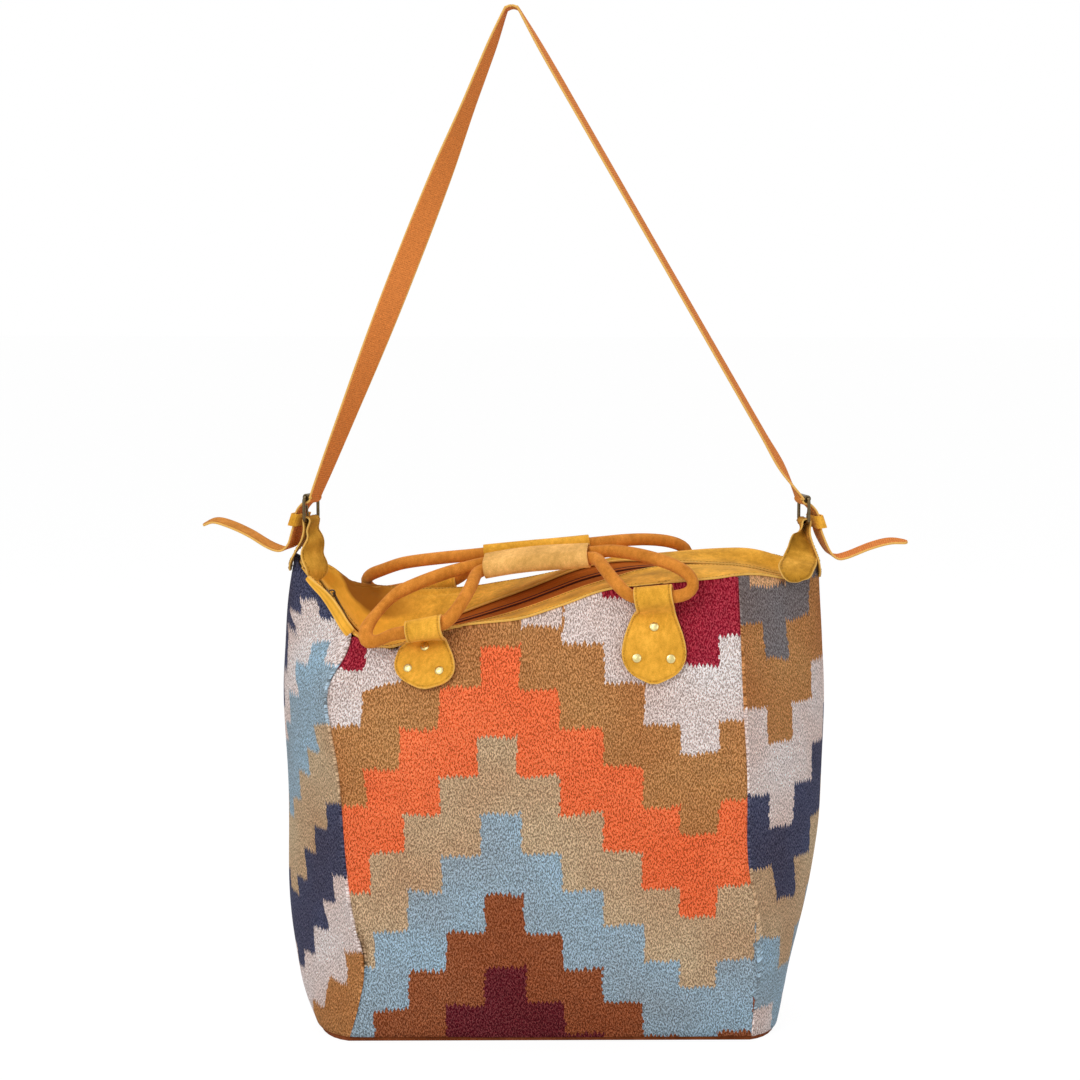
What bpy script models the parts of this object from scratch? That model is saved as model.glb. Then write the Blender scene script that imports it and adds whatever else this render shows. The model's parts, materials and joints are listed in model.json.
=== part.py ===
"""Zip-top tote bag of flat-woven cloth, with suede trim, two ring handles and a buckled shoulder strap.

Metres, +Z up. The bag stands on its base with its front towards -Y, and its shoulder strap is
held up at the crown, as when the bag hangs from a shoulder or a peg.
"""
import math

import bmesh
import bpy
from mathutils import Matrix, Vector

# Clearance between pieces that touch or are sewn together, and between the walls and the base
GAP = 0.0003
FOOT_GAP = 0.0007

# Bag body: cloth walls, measured on their inner face
CLOTH = 0.003
BASE_THICKNESS = 0.0035
PANEL_HALF_WIDTH = 0.183
BODY_REACH = 0.2510
BASE_REACH = 0.2140
APEX_REACH = 0.2425
BASE_HALF_DEPTH = 0.083
BODY_HALF_DEPTH = 0.100
SAGGING_RIM_DEPTH = 0.054
FULL_RIM_DEPTH = 0.073
APEX_HEIGHT = 0.438
LOW_RIM_HEIGHT = 0.354
BULGE = 0.012
BASE_TWIST = math.radians(5.5)
TWIST_HEIGHT = 0.20

# Suede top facing and zip
SUEDE = 0.0018
RIM_ROLL = 0.0055
FACING_LAP = 0.0035
ZIP_LEFT_END = -0.2235
ZIP_RIGHT_END = 0.2160
ZIP_SLANT = math.radians(24.0)
TAPE_WIDTH = 0.0160
TAPE_THICKNESS = 0.0008
CHAIN_WIDTH = 0.0060
CHAIN_THICKNESS = 0.0020
TAPE_SHOWING = 0.0130
STOP_LENGTH = 0.004

# Zip slider and its pull
SLIDER_PLACE = -0.2150
SLIDER_LENGTH = 0.0115
SLIDER_WIDTH = 0.0092
SLIDER_HEIGHT = 0.0016
BAIL_WIRE = 0.0007
BAIL_HALF_LENGTH = 0.0031
BAIL_RISE = 0.0042
PULL_LENGTH = 0.026
PULL_WIDTH = 0.0062
PULL_THICKNESS = 0.0012
PULL_SLOT = 0.0020

# Ring handles of rolled suede
TUBE_RADIUS = 0.0063
FRONT_HANDLE_CENTRE = -0.0065
REAR_HANDLE_CENTRE = -0.0150
LOOP_SPACING = 0.207
HANDLE_REACH = 0.073
GRIP_LENGTH = 0.098
GRIP_ARCH = 0.004
FRONT_GRIP_DEPTH = -0.026
REAR_GRIP_DEPTH = 0.019
LOOP_SLACK = 0.0034
GRIP_TILT = 0.05

# Handle tabs and rivets
TAB_LEATHER = 0.0022
TAB_NECK_WIDTH = 0.034
TAB_LOBE_WIDTH = 0.058
LEFT_TAB_DROP = 0.054
RIGHT_TAB_DROP = 0.076
RIVET_RADIUS = 0.0042
RIVET_RISE = 0.0013
RIVET_SPREAD = 0.0150

# Strap ends: ears, roller buckles and keepers
EAR_PLY = 0.0020
EAR_FOLD_WIDTH = 0.0220
EAR_LOBE_WIDTH = 0.0320
EAR_SIDE = 0.2300
BAR_LIFT = 0.0300
BAR_HEIGHT = APEX_HEIGHT + BAR_LIFT
RIGHT_EAR_RISE = 0.0025
BUCKLE_TURN = math.radians(17.5)
BUCKLE_LENGTH = 0.0225
BUCKLE_WIDTH = 0.0275
WIRE_RADIUS = 0.0016
ROLLER_RADIUS = 0.0033
PRONG_RADIUS = 0.0011
KEEPER_HEIGHT = 0.012
KEEPER_PLY = 0.0016
KEEPER_OUT = 0.0125

# Shoulder strap
STRAP_WIDTH = 0.0230
STRAP_THICKNESS = 0.0024
CROWN = Vector((-0.0390, 0.0, 0.9385))
CROWN_RADIUS = 0.0080
TAIL_TAPER = 0.014

FRONT = -1
REAR = 1
LEFT = -1
RIGHT = 1


def clear_scene():
    """Remove whatever the file holds."""
    for old in list(bpy.data.objects):
        bpy.data.objects.remove(old, do_unlink=True)


def make_material(name, colour, roughness, metallic=0.0):
    """A Principled material in one colour."""
    material = bpy.data.materials.new(name)
    material.use_nodes = True
    shader = material.node_tree.nodes["Principled BSDF"]
    shader.inputs["Base Color"].default_value = (*colour, 1.0)
    shader.inputs["Roughness"].default_value = roughness
    shader.inputs["Metallic"].default_value = metallic
    return material


def smooth(knots, at):
    """Value at a place along a smooth curve through (place, value) knots."""
    if at <= knots[0][0]:
        return knots[0][1]
    if at >= knots[-1][0]:
        return knots[-1][1]
    k = max(i for i in range(len(knots) - 1) if knots[i][0] <= at)
    (a, start), (b, end) = knots[k], knots[k + 1]

    def slope(i):
        low, high = max(i - 1, 0), min(i + 1, len(knots) - 1)
        return (knots[high][1] - knots[low][1]) * (1.0 / (knots[high][0] - knots[low][0]))

    span = b - a
    t = (at - a) / span
    pull_start = slope(k) * (span * t * (1 - t) ** 2)
    pull_end = slope(k + 1) * (span * t * t * (t - 1))
    return start * (2 * t ** 3 - 3 * t * t + 1) + end * (3 * t * t - 2 * t ** 3) + pull_start + pull_end


def smooth_path(points, count):
    """Points spread evenly along a smooth curve through the given points."""
    knots = [(0.0, points[0])]
    for before, after in zip(points, points[1:]):
        knots.append((knots[-1][0] + (after - before).length, after))
    length = knots[-1][0]
    return [smooth(knots, length * i / (count - 1)) for i in range(count)]


def collection_for(name):
    """The named collection, made on first use."""
    if name not in bpy.data.collections:
        bpy.context.scene.collection.children.link(bpy.data.collections.new(name))
    return bpy.data.collections[name]


def add_object(name, data, material, parent=None):
    """Link an object with its material, under an empty where it turns or slides."""
    thing = bpy.data.objects.new(name, data)
    data.materials.clear()
    data.materials.append(material)
    collection_for("tote_bag").objects.link(thing)
    if parent:
        thing.parent = parent
        thing.matrix_parent_inverse = parent.matrix_world.inverted()
    return thing


def add_axis(name, place):
    """An empty on a joint's axis, which carries the moving pieces."""
    empty = bpy.data.objects.new(name, None)
    empty.location = place
    empty.empty_display_size = 0.01
    collection_for("tote_bag").objects.link(empty)
    bpy.context.view_layer.update()
    return empty


def mesh_from(bm, name, smooth_shade=True):
    """Turn a bmesh into a mesh with outward faces and sharp edges kept."""
    bmesh.ops.recalc_face_normals(bm, faces=bm.faces)
    mesh = bpy.data.meshes.new(name)
    bm.to_mesh(mesh)
    bm.free()
    if smooth_shade:
        mesh.shade_smooth()
        mesh.set_sharp_from_angle(angle=math.radians(40))
    return mesh


def surface_grid(point, columns, rows):
    """An open sheet, point(u, v) for u and v from 0 to 1."""
    bm = bmesh.new()
    bmesh.ops.create_grid(bm, x_segments=columns, y_segments=rows, size=0.5)
    for vertex in bm.verts:
        vertex.co = point(vertex.co.x + 0.5, vertex.co.y + 0.5)
    return bm


def sheet_object(name, point, columns, rows, wall, material, outward, middle=False):
    """A sheet with a wall thickness, laid on the side that outward points to, or half on each side."""
    bm = surface_grid(point, columns, rows)
    bm.normal_update()
    centre_face = min(bm.faces, key=lambda f: (f.calc_center_median() - point(0.5, 0.5)).length)
    if centre_face.normal.dot(outward) < 0:
        bmesh.ops.reverse_faces(bm, faces=bm.faces)
    mesh = bpy.data.meshes.new(name)
    bm.to_mesh(mesh)
    bm.free()
    mesh.shade_smooth()
    sheet = add_object(name, mesh, material)
    solid = sheet.modifiers.new("Wall", "SOLIDIFY")
    solid.thickness = wall
    solid.offset = 0.0 if middle else 1.0
    return sheet


def loft(name, sections, material, parent=None, closed=False):
    """A solid through rings of points, capped at both ends unless the rings close on themselves."""
    bm = bmesh.new()
    rings = [[bm.verts.new(p) for p in section] for section in sections]
    around = len(rings[0])
    pairs = list(zip(rings, rings[1:])) + ([(rings[-1], rings[0])] if closed else [])
    for low, high in pairs:
        for i in range(around):
            j = (i + 1) % around
            bm.faces.new((low[i], low[j], high[j], high[i]))
    if not closed:
        bm.faces.new(list(reversed(rings[0])))
        bm.faces.new(rings[-1])
    return add_object(name, mesh_from(bm, name), material, parent)


def strip_sections(centres, across, widths, thickness):
    """Four-cornered sections of a flat strip that follows the centres."""
    sections = []
    for i, centre in enumerate(centres):
        before = centres[max(i - 1, 0)]
        after = centres[min(i + 1, len(centres) - 1)]
        tangent = (after - before).normalized()
        side = (across[i] - tangent * across[i].dot(tangent)).normalized()
        face = tangent.cross(side)
        half = side * (widths[i] / 2)
        skin = face * (thickness / 2)
        sections.append([centre - half - skin, centre + half - skin, centre + half + skin, centre - half + skin])
    return sections


def tube_object(name, points, radius, material, cyclic=False, parent=None, sides=2):
    """A round tube, rod or wire through the points."""
    curve = bpy.data.curves.new(name, "CURVE")
    curve.dimensions = "3D"
    curve.bevel_depth = radius
    curve.bevel_resolution = sides
    curve.use_fill_caps = True
    spline = curve.splines.new("POLY")
    spline.points.add(len(points) - 1)
    for target, place in zip(spline.points, points):
        target.co = (*place, 1.0)
    spline.use_cyclic_u = cyclic
    spline.use_smooth = True
    return add_object(name, curve, material, parent)


def turned_object(name, profile, place, axis, steps, material, parent=None):
    """A turned piece: a profile of (radius, height) points, spun about an axis through the place."""
    mesh = bpy.data.meshes.new(name)
    closed = profile[0][0] > 0 and profile[-1][0] > 0
    count = len(profile)
    edges = [(i, i + 1) for i in range(count - 1)] + ([(count - 1, 0)] if closed else [])
    mesh.from_pydata([(radius, 0.0, height) for radius, height in profile], edges, [])
    piece = add_object(name, mesh, material)
    piece.matrix_world = Matrix.Translation(place) @ axis.to_track_quat("Z", "Y").to_matrix().to_4x4()
    if parent:
        piece.parent = parent
        piece.matrix_parent_inverse = parent.matrix_world.inverted()
    spin = piece.modifiers.new("Turn", "SCREW")
    spin.axis = "Z"
    spin.angle = 2 * math.pi
    spin.steps = steps
    spin.render_steps = steps
    spin.use_merge_vertices = True
    spin.merge_threshold = 0.00005
    spin.use_smooth_shade = True
    return piece


def panel_edge(side, height):
    """Half-width of the front and back panels at a height: where they are sewn to a gusset."""
    left = [(0.0, 0.0065), (0.02, 0.001), (0.04, -0.0045), (0.073, -0.0115), (0.093, -0.0076), (0.115, -0.0025),
            (0.15, 0.0004), (0.20, 0.003), (0.243, 0.0058), (0.28, 0.0115), (0.304, 0.0185), (0.322, 0.0205),
            (0.341, 0.011), (0.36, 0.001), (0.44, -0.002)]
    right = [(0.0, -0.005), (0.05, 0.001), (0.102, 0.008), (0.13, 0.005), (0.168, -0.0005), (0.233, -0.002),
             (0.304, -0.0045), (0.366, -0.0087), (0.44, -0.0135)]
    return PANEL_HALF_WIDTH + smooth(left if side == LEFT else right, height)


def gusset_reach(side, height):
    """How far a gusset's middle stands out from the bag's centre line: the left one is fuller."""
    left = [(0.0, 0.176), (0.012, 0.43), (0.035, 0.676), (0.06, 0.784), (0.10, 0.986), (0.20, 1.046),
            (0.315, 1.095), (0.39, 1.054), (0.42, 0.92)]
    right = [(0.0, -0.20), (0.015, -0.014), (0.055, 0.149), (0.113, 0.527), (0.152, 0.73), (0.209, 0.919),
             (0.304, 0.959), (0.39, 0.87), (0.42, 0.82)]
    knots = [(at, BASE_REACH + (BODY_REACH - BASE_REACH) * share) for at, share in (left if side == LEFT else right)]
    return smooth(knots + [(0.45, APEX_REACH)], height)


def wall_depth(face, x, height):
    """Half-depth of the bag at the panels' side seams: it narrows to the rim over a soft shoulder."""
    base, body = BASE_HALF_DEPTH, BODY_HALF_DEPTH
    low = smooth([(0.0, base), (0.012, base + 0.005), (0.05, base + (body - base) * 0.7), (0.12, body), (0.30, body)],
                 height)
    rim = smooth([(-0.12, SAGGING_RIM_DEPTH), (0.0, (SAGGING_RIM_DEPTH + FULL_RIM_DEPTH) / 2), (0.10, FULL_RIM_DEPTH),
                  (0.25, FULL_RIM_DEPTH - 0.004)], x)
    below = rim_height(face, x) - height
    shoulder = smooth([(0.0, 1.0), (0.02, 0.74), (0.045, 0.42), (0.08, 0.15), (0.13, 0.0)], below)
    return low + (rim - low) * shoulder


def body_depth(face, x, height):
    """Half-depth of the bag at a distance from its centre line, on the cloth's inner face."""
    side = LEFT if x < 0 else RIGHT
    edge = panel_edge(side, height)
    depth = wall_depth(face, x, height)
    reach = gusset_reach(side, height)
    if abs(x) <= edge:
        fullness = smooth([(0.0, 0.0), (0.1, 0.7), (0.2, 1.0), (0.3, 0.8), (0.36, 0.4), (APEX_HEIGHT, 0.15)], height)
        return depth + BULGE * fullness * (1 - (x / edge) ** 2)
    corner = math.radians(smooth([(0.0, 16.0), (0.12, 35.0), (0.3, 35.0)], height))
    along = 1 - math.sqrt(max(reach - abs(x), 0.0) / (reach - edge))
    turn = depth - (reach - edge) * math.tan(corner)
    return depth * (1 - along) ** 2 + 2 * turn * along * (1 - along)


def rim_height(face, x):
    """Height of the rim where the suede facing is sewn to the cloth: it sags at the left."""
    low, apex = LOW_RIM_HEIGHT, APEX_HEIGHT
    front = [(-0.2475, apex - 0.001), (-0.2365, 0.4200), (-0.2226, 0.4085), (-0.2085, 0.4005),
             (-0.1977, 0.3905), (-0.1877, 0.3745), (-0.1805, 0.3635), (-0.1681, low + 0.003), (-0.152, low),
             (-0.120, low + 0.0095), (-0.091, low + 0.0205), (-0.0556, low + 0.026), (-0.0302, low + 0.029),
             (-0.0176, 0.3865), (0.0013, 0.3935), (0.0201, 0.4005), (0.0389, 0.4085), (0.055, 0.4135),
             (0.0916, 0.4185), (0.1237, 0.4220), (0.1548, 0.4255), (0.1709, 0.4285), (0.1898, 0.4275),
             (0.2137, 0.4205), (0.232, 0.4225), (0.2475, apex + 0.0045)]
    rear = [(-0.2475, apex - 0.001), (-0.234, 0.4255), (-0.2191, 0.4200), (-0.2142, 0.4155),
            (-0.2083, 0.4050), (-0.1963, 0.3985), (-0.1569, 0.3930), (-0.0883, 0.3940), (-0.0639, 0.3980),
            (-0.0298, 0.4040), (0.0022, 0.4110), (0.038, 0.4175), (0.0766, 0.4230), (0.1246, 0.4275),
            (0.1637, 0.4300), (0.1825, 0.4325), (0.2001, 0.4325), (0.2137, 0.4300), (0.234, 0.4270),
            (0.2475, apex + 0.0045)]
    return smooth(front if face == FRONT else rear, x)


def wall_point(face, x, height):
    """A point on the inner face of the cloth wall. The bag is a little twisted above its base."""
    t = min(max(height / TWIST_HEIGHT, 0.0), 1.0)
    twist = BASE_TWIST * (1 - t * t * (3 - 2 * t))
    place = Vector((x, face * body_depth(face, x, height), height))
    return Matrix.Rotation(twist, 3, "Z") @ place


def skin_point(face, x, height, proud):
    """A point that far outside the outer face of the cloth wall, and the way out there."""
    step = 0.003
    here = wall_point(face, x, height)
    along = wall_point(face, x + step, height) - wall_point(face, x - step, height)
    up = wall_point(face, x, height + step) - wall_point(face, x, height - step)
    out = along.cross(up).normalized()
    if out.y * face < 0:
        out.negate()
    return here + out * (CLOTH + proud), out


def zip_height(x):
    """Height of the zip's middle line. Its left end is straight, where the slider runs."""
    end_x, end_z = ZIP_LEFT_END, 0.4080
    turn_x, turn_z = -0.1890, 0.3600
    slope = (end_z - turn_z) / (end_x - turn_x)
    if x < turn_x - 0.006:
        return end_z + (x - end_x) * slope
    rest = [(turn_x - 0.012, turn_z - 0.012 * slope), (turn_x - 0.006, turn_z - 0.006 * slope), (turn_x, turn_z),
            (-0.1760, 0.3535), (-0.1600, 0.3548), (-0.1400, 0.3600), (-0.1018, 0.3700), (-0.0648, 0.3815),
            (-0.0252, 0.3950), (0.0011, 0.4055), (0.0273, 0.4155), (0.0608, 0.4240), (0.0887, 0.4275),
            (0.1351, 0.4285), (0.1767, 0.4265), (ZIP_RIGHT_END, 0.4190), (0.25, 0.4300)]
    return smooth(rest, x)


def zip_frame(x):
    """A point on the zip's middle line, and the ways along it, across it and up from it."""
    step = 0.002
    along = Vector((2 * step, 0.0, zip_height(x + step) - zip_height(x - step))).normalized()
    slant = smooth([(-0.15, 0.0), (-0.08, 0.8), (-0.03, 1.0), (0.05, 1.0), (0.11, 0.25), (0.15, 0.0)], x) * ZIP_SLANT
    flat_up = Vector((-along.z, 0.0, along.x))
    across = Vector((0, math.cos(slant), 0)) + flat_up * math.sin(slant)
    return Vector((x, 0.0, zip_height(x))), along, across, along.cross(across)


def build_base(material):
    """Flat suede base, cut to the line where the walls stand on it."""
    outline = []
    for side, face in ((RIGHT, FRONT), (RIGHT, REAR), (LEFT, REAR), (LEFT, FRONT)):
        edge = panel_edge(side, 0.0)
        reach = gusset_reach(side, 0.0)
        corner = []
        for i in range(9):
            x = edge + (reach - edge) * (1 - (1 - i / 8) ** 2)
            place = wall_point(face, side * x, 0.0)
            corner.append(place + Vector((side * CLOTH * i / 8, face * CLOTH * (1 - i / 8), 0.0)))
        outline += corner[:-1] if side * face < 0 else list(reversed(corner))
    curve = bpy.data.curves.new("base_panel", "CURVE")
    curve.dimensions = "2D"
    curve.fill_mode = "BOTH"
    curve.extrude = BASE_THICKNESS / 2
    spline = curve.splines.new("POLY")
    spline.points.add(len(outline) - 1)
    for target, place in zip(spline.points, outline):
        target.co = (place.x, place.y, 0.0, 1.0)
    spline.use_cyclic_u = True
    base = add_object("base_panel", curve, material)
    base.location.z = BASE_THICKNESS / 2


def build_main_panel(name, face, material):
    """Front or back panel, sewn between the gussets and standing on the base."""
    foot = BASE_THICKNESS + FOOT_GAP

    def point(u, v):
        x = 0.0
        height = foot
        for _ in range(12):
            left = -panel_edge(LEFT, height) + GAP
            right = panel_edge(RIGHT, height) - GAP
            x = left + (right - left) * u
            height = (height + foot + (rim_height(face, x) - foot) * v) / 2
        return wall_point(face, x, height)

    sheet_object(name, point, 24, 16, CLOTH, material, Vector((0, face, 0)))


def build_gusset(name, side, material):
    """Side gusset: one strip from the front seam round to the back seam, up to its peak at the ear."""
    foot = BASE_THICKNESS + FOOT_GAP

    def point(u, v):
        face = FRONT if u < 0.5 else REAR
        along = 1 - abs(2 * u - 1)
        height = foot
        x = 0.0
        for _ in range(12):
            edge = panel_edge(side, height) + GAP
            reach = gusset_reach(side, height)
            x = side * (reach - (reach - edge) * (1 - along) ** 2)
            height = (height + foot + (rim_height(face, x) - foot) * v) / 2
        return wall_point(face, x, height)

    sheet_object(name, point, 14, 16, CLOTH, material, Vector((side, 0, 0)))


def build_facing(name, face, material):
    """Suede facing over the cloth's rim, sloping to the zip and lying on the edge of its tape."""
    lift = TAPE_THICKNESS / 2 + GAP * 3 + SUEDE / 2
    tape_edge = CHAIN_WIDTH / 2 + GAP + TAPE_WIDTH + 0.0012
    ends = APEX_REACH - FACING_LAP
    closed_from = max(-ZIP_LEFT_END, ZIP_RIGHT_END) - 0.002

    def point(u, v):
        x = -ends + 2 * ends * u
        rim = rim_height(face, x)
        inner = wall_point(face, x, rim)
        _, out = skin_point(face, x, rim, 0.0)
        slope = (rim_height(face, x + 0.004) - rim_height(face, x - 0.004)) / 0.008
        clear = GAP * smooth([(-0.218, 5), (-0.205, 8), (-0.190, 7), (-0.173, 11), (-0.153, 8), (-0.135, 5)], x)
        over = Vector((-slope, 0.0, 1.0)).normalized() * (clear + SUEDE / 2)
        room = abs(inner.y)
        edge = inner + out * CLOTH
        outer = Vector((x, edge.y, max(edge.z, inner.z))) + over
        roll = Vector((x, inner.y - face * min(RIM_ROLL - CLOTH, room * 0.2), max(edge.z, inner.z))) + over
        closing = min(max((abs(x) - closed_from) / (ends - closed_from), 0.0), 1.0)
        showing = smooth([(-0.2235, 0.22), (-0.16, 0.25), (-0.12, 0.55), (-0.04, 1.0), (0.05, 0.95), (0.10, 0.35),
                          (0.15, 0.2), (0.216, 0.15)], x) * TAPE_SHOWING + CHAIN_WIDTH / 2
        near = showing * (1 - closing) + 0.0008 * closing
        middle, _, across, up = zip_frame(x)
        lap = middle + up * lift + across * (face * min(tape_edge, room * 0.68))
        last = middle + up * lift + across * (face * min(near, room * 0.3))
        if v < 0.17:
            return outer.lerp(roll, v / 0.17)
        if v > 0.75:
            return lap.lerp(last, (v - 0.75) / 0.25)
        t = (v - 0.17) / 0.58
        rise = 0.001 if face == FRONT else smooth([(-0.05, 0.0), (0.08, 0.003), (0.17, 0.009), (0.23, 0.002)], x)
        return roll.lerp(lap, t) + Vector((0, 0, rise * math.sin(math.pi * t)))

    sheet_object(name, point, 44, 7, SUEDE, material, Vector((0, 0, 1)), middle=True)


def zip_strip(name, start, end, aside, width, thickness, count, material):
    """A strip of the zip between two places along it, set off to one side."""
    centres, ways = [], []
    for i in range(count):
        middle, _, across, _ = zip_frame(start + (end - start) * i / (count - 1))
        centres.append(middle + across * aside)
        ways.append(across)
    return loft(name, strip_sections(centres, ways, [width] * count, thickness), material)


def build_zip(tape, coil, metal):
    """Zip: two tapes, the closed coil between them, and a stop at each end."""
    aside = CHAIN_WIDTH / 2 + GAP + TAPE_WIDTH / 2
    zip_strip("zip_tape_front", ZIP_LEFT_END, ZIP_RIGHT_END, -aside, TAPE_WIDTH, TAPE_THICKNESS, 46, tape)
    zip_strip("zip_tape_rear", ZIP_LEFT_END, ZIP_RIGHT_END, aside, TAPE_WIDTH, TAPE_THICKNESS, 46, tape)
    first = ZIP_LEFT_END + STOP_LENGTH + GAP
    last = ZIP_RIGHT_END - STOP_LENGTH - GAP
    zip_strip("zip_coil", first, last, 0.0, CHAIN_WIDTH, CHAIN_THICKNESS, 46, coil)
    zip_strip("zip_stop_left", ZIP_LEFT_END, ZIP_LEFT_END + STOP_LENGTH, 0.0, CHAIN_WIDTH, CHAIN_THICKNESS, 3, metal)
    zip_strip("zip_stop_right", ZIP_RIGHT_END - STOP_LENGTH, ZIP_RIGHT_END, 0.0, CHAIN_WIDTH, CHAIN_THICKNESS, 3, metal)


def build_slider(metal):
    """Zip slider straddling the coil, with a wire bail on top, and the pull that hangs on the bail."""
    middle, along, across, up = zip_frame(SLIDER_PLACE)
    carrier = add_axis("slider_axis", middle)
    bed = CHAIN_THICKNESS / 2 + GAP
    flank = CHAIN_WIDTH / 2 + GAP
    foot = TAPE_THICKNESS / 2 + GAP
    top = bed + SLIDER_HEIGHT
    half = SLIDER_WIDTH / 2
    outline = [(-half, foot), (-half, top - 0.0008), (-half + 0.0012, top), (half - 0.0012, top),
               (half, top - 0.0008), (half, foot), (flank, foot), (flank, bed), (-flank, bed), (-flank, foot)]
    sections = []
    for place, narrow in ((-0.5, 0.80), (-0.25, 1.0), (0.2, 1.0), (0.5, 0.86)):
        centre = middle + along * (place * SLIDER_LENGTH)
        ring = []
        for side, high in outline:
            outer = abs(side) > flank + GAP / 2
            reach = max(abs(side) * narrow, flank + 0.0006) if outer else abs(side)
            ring.append(centre + across * math.copysign(reach, side) + up * high)
        sections.append(ring)
    loft("zip_slider", sections, metal, carrier)
    base = top + GAP + BAIL_WIRE
    arch = []
    for i in range(11):
        turn = math.pi * i / 10
        arch.append(middle + along * (BAIL_HALF_LENGTH * math.cos(turn)) + up * (base + BAIL_RISE * math.sin(turn)))
    tube_object("zip_bail", arch, BAIL_WIRE, metal, parent=carrier)
    turn = math.radians(30)
    hinge = middle + along * (BAIL_HALF_LENGTH * math.cos(turn)) + up * (base + BAIL_RISE * math.sin(turn))
    pull_axis = add_axis("pull_axis", hinge)
    build_pull(metal, hinge, along, across, up, pull_axis)


def build_pull(metal, hinge, along, across, up, pull_axis):
    """Pull tab: a flat plate with a slot round the bail's wire and a rounded end."""
    end = PULL_WIDTH / 2
    eye = PULL_SLOT + 0.0009
    turns = [math.pi * i / 8 for i in range(9)]
    outline = [(PULL_LENGTH - end + end * math.sin(a), -end * math.cos(a)) for a in turns]
    outline += [(PULL_WIDTH * 0.45, PULL_WIDTH * 0.40)]
    outline += [(-eye * math.sin(a), eye * math.cos(a)) for a in turns]
    outline += [(PULL_WIDTH * 0.45, -PULL_WIDTH * 0.40)]
    slot = [(PULL_SLOT * math.cos(math.pi * i / 6), PULL_SLOT * math.sin(math.pi * i / 6)) for i in range(12)]
    curve = bpy.data.curves.new("zip_pull", "CURVE")
    curve.dimensions = "2D"
    curve.fill_mode = "BOTH"
    curve.extrude = PULL_THICKNESS / 2
    for ring in (outline, slot):
        spline = curve.splines.new("POLY")
        spline.points.add(len(ring) - 1)
        for target, (a, b) in zip(spline.points, ring):
            target.co = (a, b, 0.0, 1.0)
        spline.use_cyclic_u = True
    pull = add_object("zip_pull", curve, metal)
    droop = math.radians(8)
    way = along * math.cos(droop) - up * math.sin(droop)
    turn = Matrix((way, across, way.cross(across))).transposed().to_4x4()
    pull.matrix_world = Matrix.Translation(hinge) @ turn
    pull.parent = pull_axis
    pull.matrix_parent_inverse = pull_axis.matrix_world.inverted()


def handle_axis(face):
    """The hinge line of a handle through its two loops: its middle, its direction and half its length."""
    stand = TAB_LEATHER + TUBE_RADIUS + GAP * 5 + 0.0015
    rises = {(FRONT, LEFT): 0.0095, (FRONT, RIGHT): -0.0130, (REAR, LEFT): 0.004, (REAR, RIGHT): -0.012}
    centre = FRONT_HANDLE_CENTRE if face == FRONT else REAR_HANDLE_CENTRE
    ends = []
    for side in (LEFT, RIGHT):
        x = centre + side * LOOP_SPACING / 2
        place, _ = skin_point(face, x, rim_height(face, x) + rises[face, side], stand)
        if side == LEFT:
            place.y += face * 0.005
        ends.append(place)
    left, right = ends
    return (left + right) / 2, (right - left).normalized(), (right - left).length / 2


def handle_point(face, a, share):
    """A point of a handle: a along its hinge line, and a share of the way from there up and over to the grip."""
    middle, along, _ = handle_axis(face)
    foot = middle + along * a
    lean = (FRONT_GRIP_DEPTH if face == FRONT else REAR_GRIP_DEPTH) - middle.y
    rise = math.sqrt(max(HANDLE_REACH ** 2 - lean ** 2, 0.0001))
    over = max(rim_height(face, foot.x) - foot.z, 0.0)
    climb = Vector((0.0, lean * 0.06, 0.024 + over * 1.1))
    top = Vector((-along.z * rise, lean, rise))
    return foot + climb * (2 * share * (1 - share)) + top * share ** 2


def grip_frame(face, a):
    """Middle of the grip at a share of its half-length, and the ways from run to run and out of the ring."""
    share = 1 - GRIP_ARCH / HANDLE_REACH * a * a - GRIP_TILT * a
    along = a * GRIP_LENGTH / 2
    centre = handle_point(face, along, share)
    reach = handle_point(face, along, share + 0.05) - centre
    ahead = (handle_point(face, along + 0.002, share) - centre).normalized()
    reach = (reach - ahead * reach.dot(ahead)).normalized()
    return centre, reach, ahead.cross(reach)


def ring_half(face, side):
    """Half of a ring handle, from the middle of the grip's lower run through a loop to its upper run."""
    half = handle_axis(face)[2]
    neck = TAB_NECK_WIDTH / 2
    slack = LOOP_SLACK / HANDLE_REACH
    in_loop = [(-neck - 0.0005, slack * 0.9), (-neck * 0.6, slack * 0.5), (0.0, 0.1 * slack), (neck * 0.6, -slack * 0.15),
               (neck + 0.0005, -slack * 0.35)]
    if side == LEFT:
        lower = [(-0.042, 0.65), (-0.0328, 0.38), (-0.0238, 0.14)]
        wide = 0.0 if face == FRONT else 0.005
        outer = [(0.027, -0.03), (0.036 + wide, 0.0), (0.0435 + wide, 0.12), (0.0435 + wide, 0.32), (0.0345, 0.55),
                 (0.010, 0.79), (-0.0255, 0.985)]
    else:
        lower = [(-0.0428, 0.50), (-0.0315, 0.22), (-0.0242, 0.085)]
        outer = [(0.024, -0.025), (0.032, 0.01), (0.0362, 0.10), (0.0325, 0.26), (0.0190, 0.46), (-0.0019, 0.66),
                 (-0.022, 0.82), (-0.0385, 0.93)]
    apart = TUBE_RADIUS + GAP
    inside = [grip_frame(face, side * a) for a in (0.0, 0.25, 0.5, 0.75, 1.0, 1.13)]
    points = [centre - reach * apart for centre, reach, _ in inside]
    points += [handle_point(face, side * (half + o), share) for o, share in lower + in_loop + outer]
    points += [centre + reach * apart for centre, reach, _ in reversed(inside)]
    return points


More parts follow.
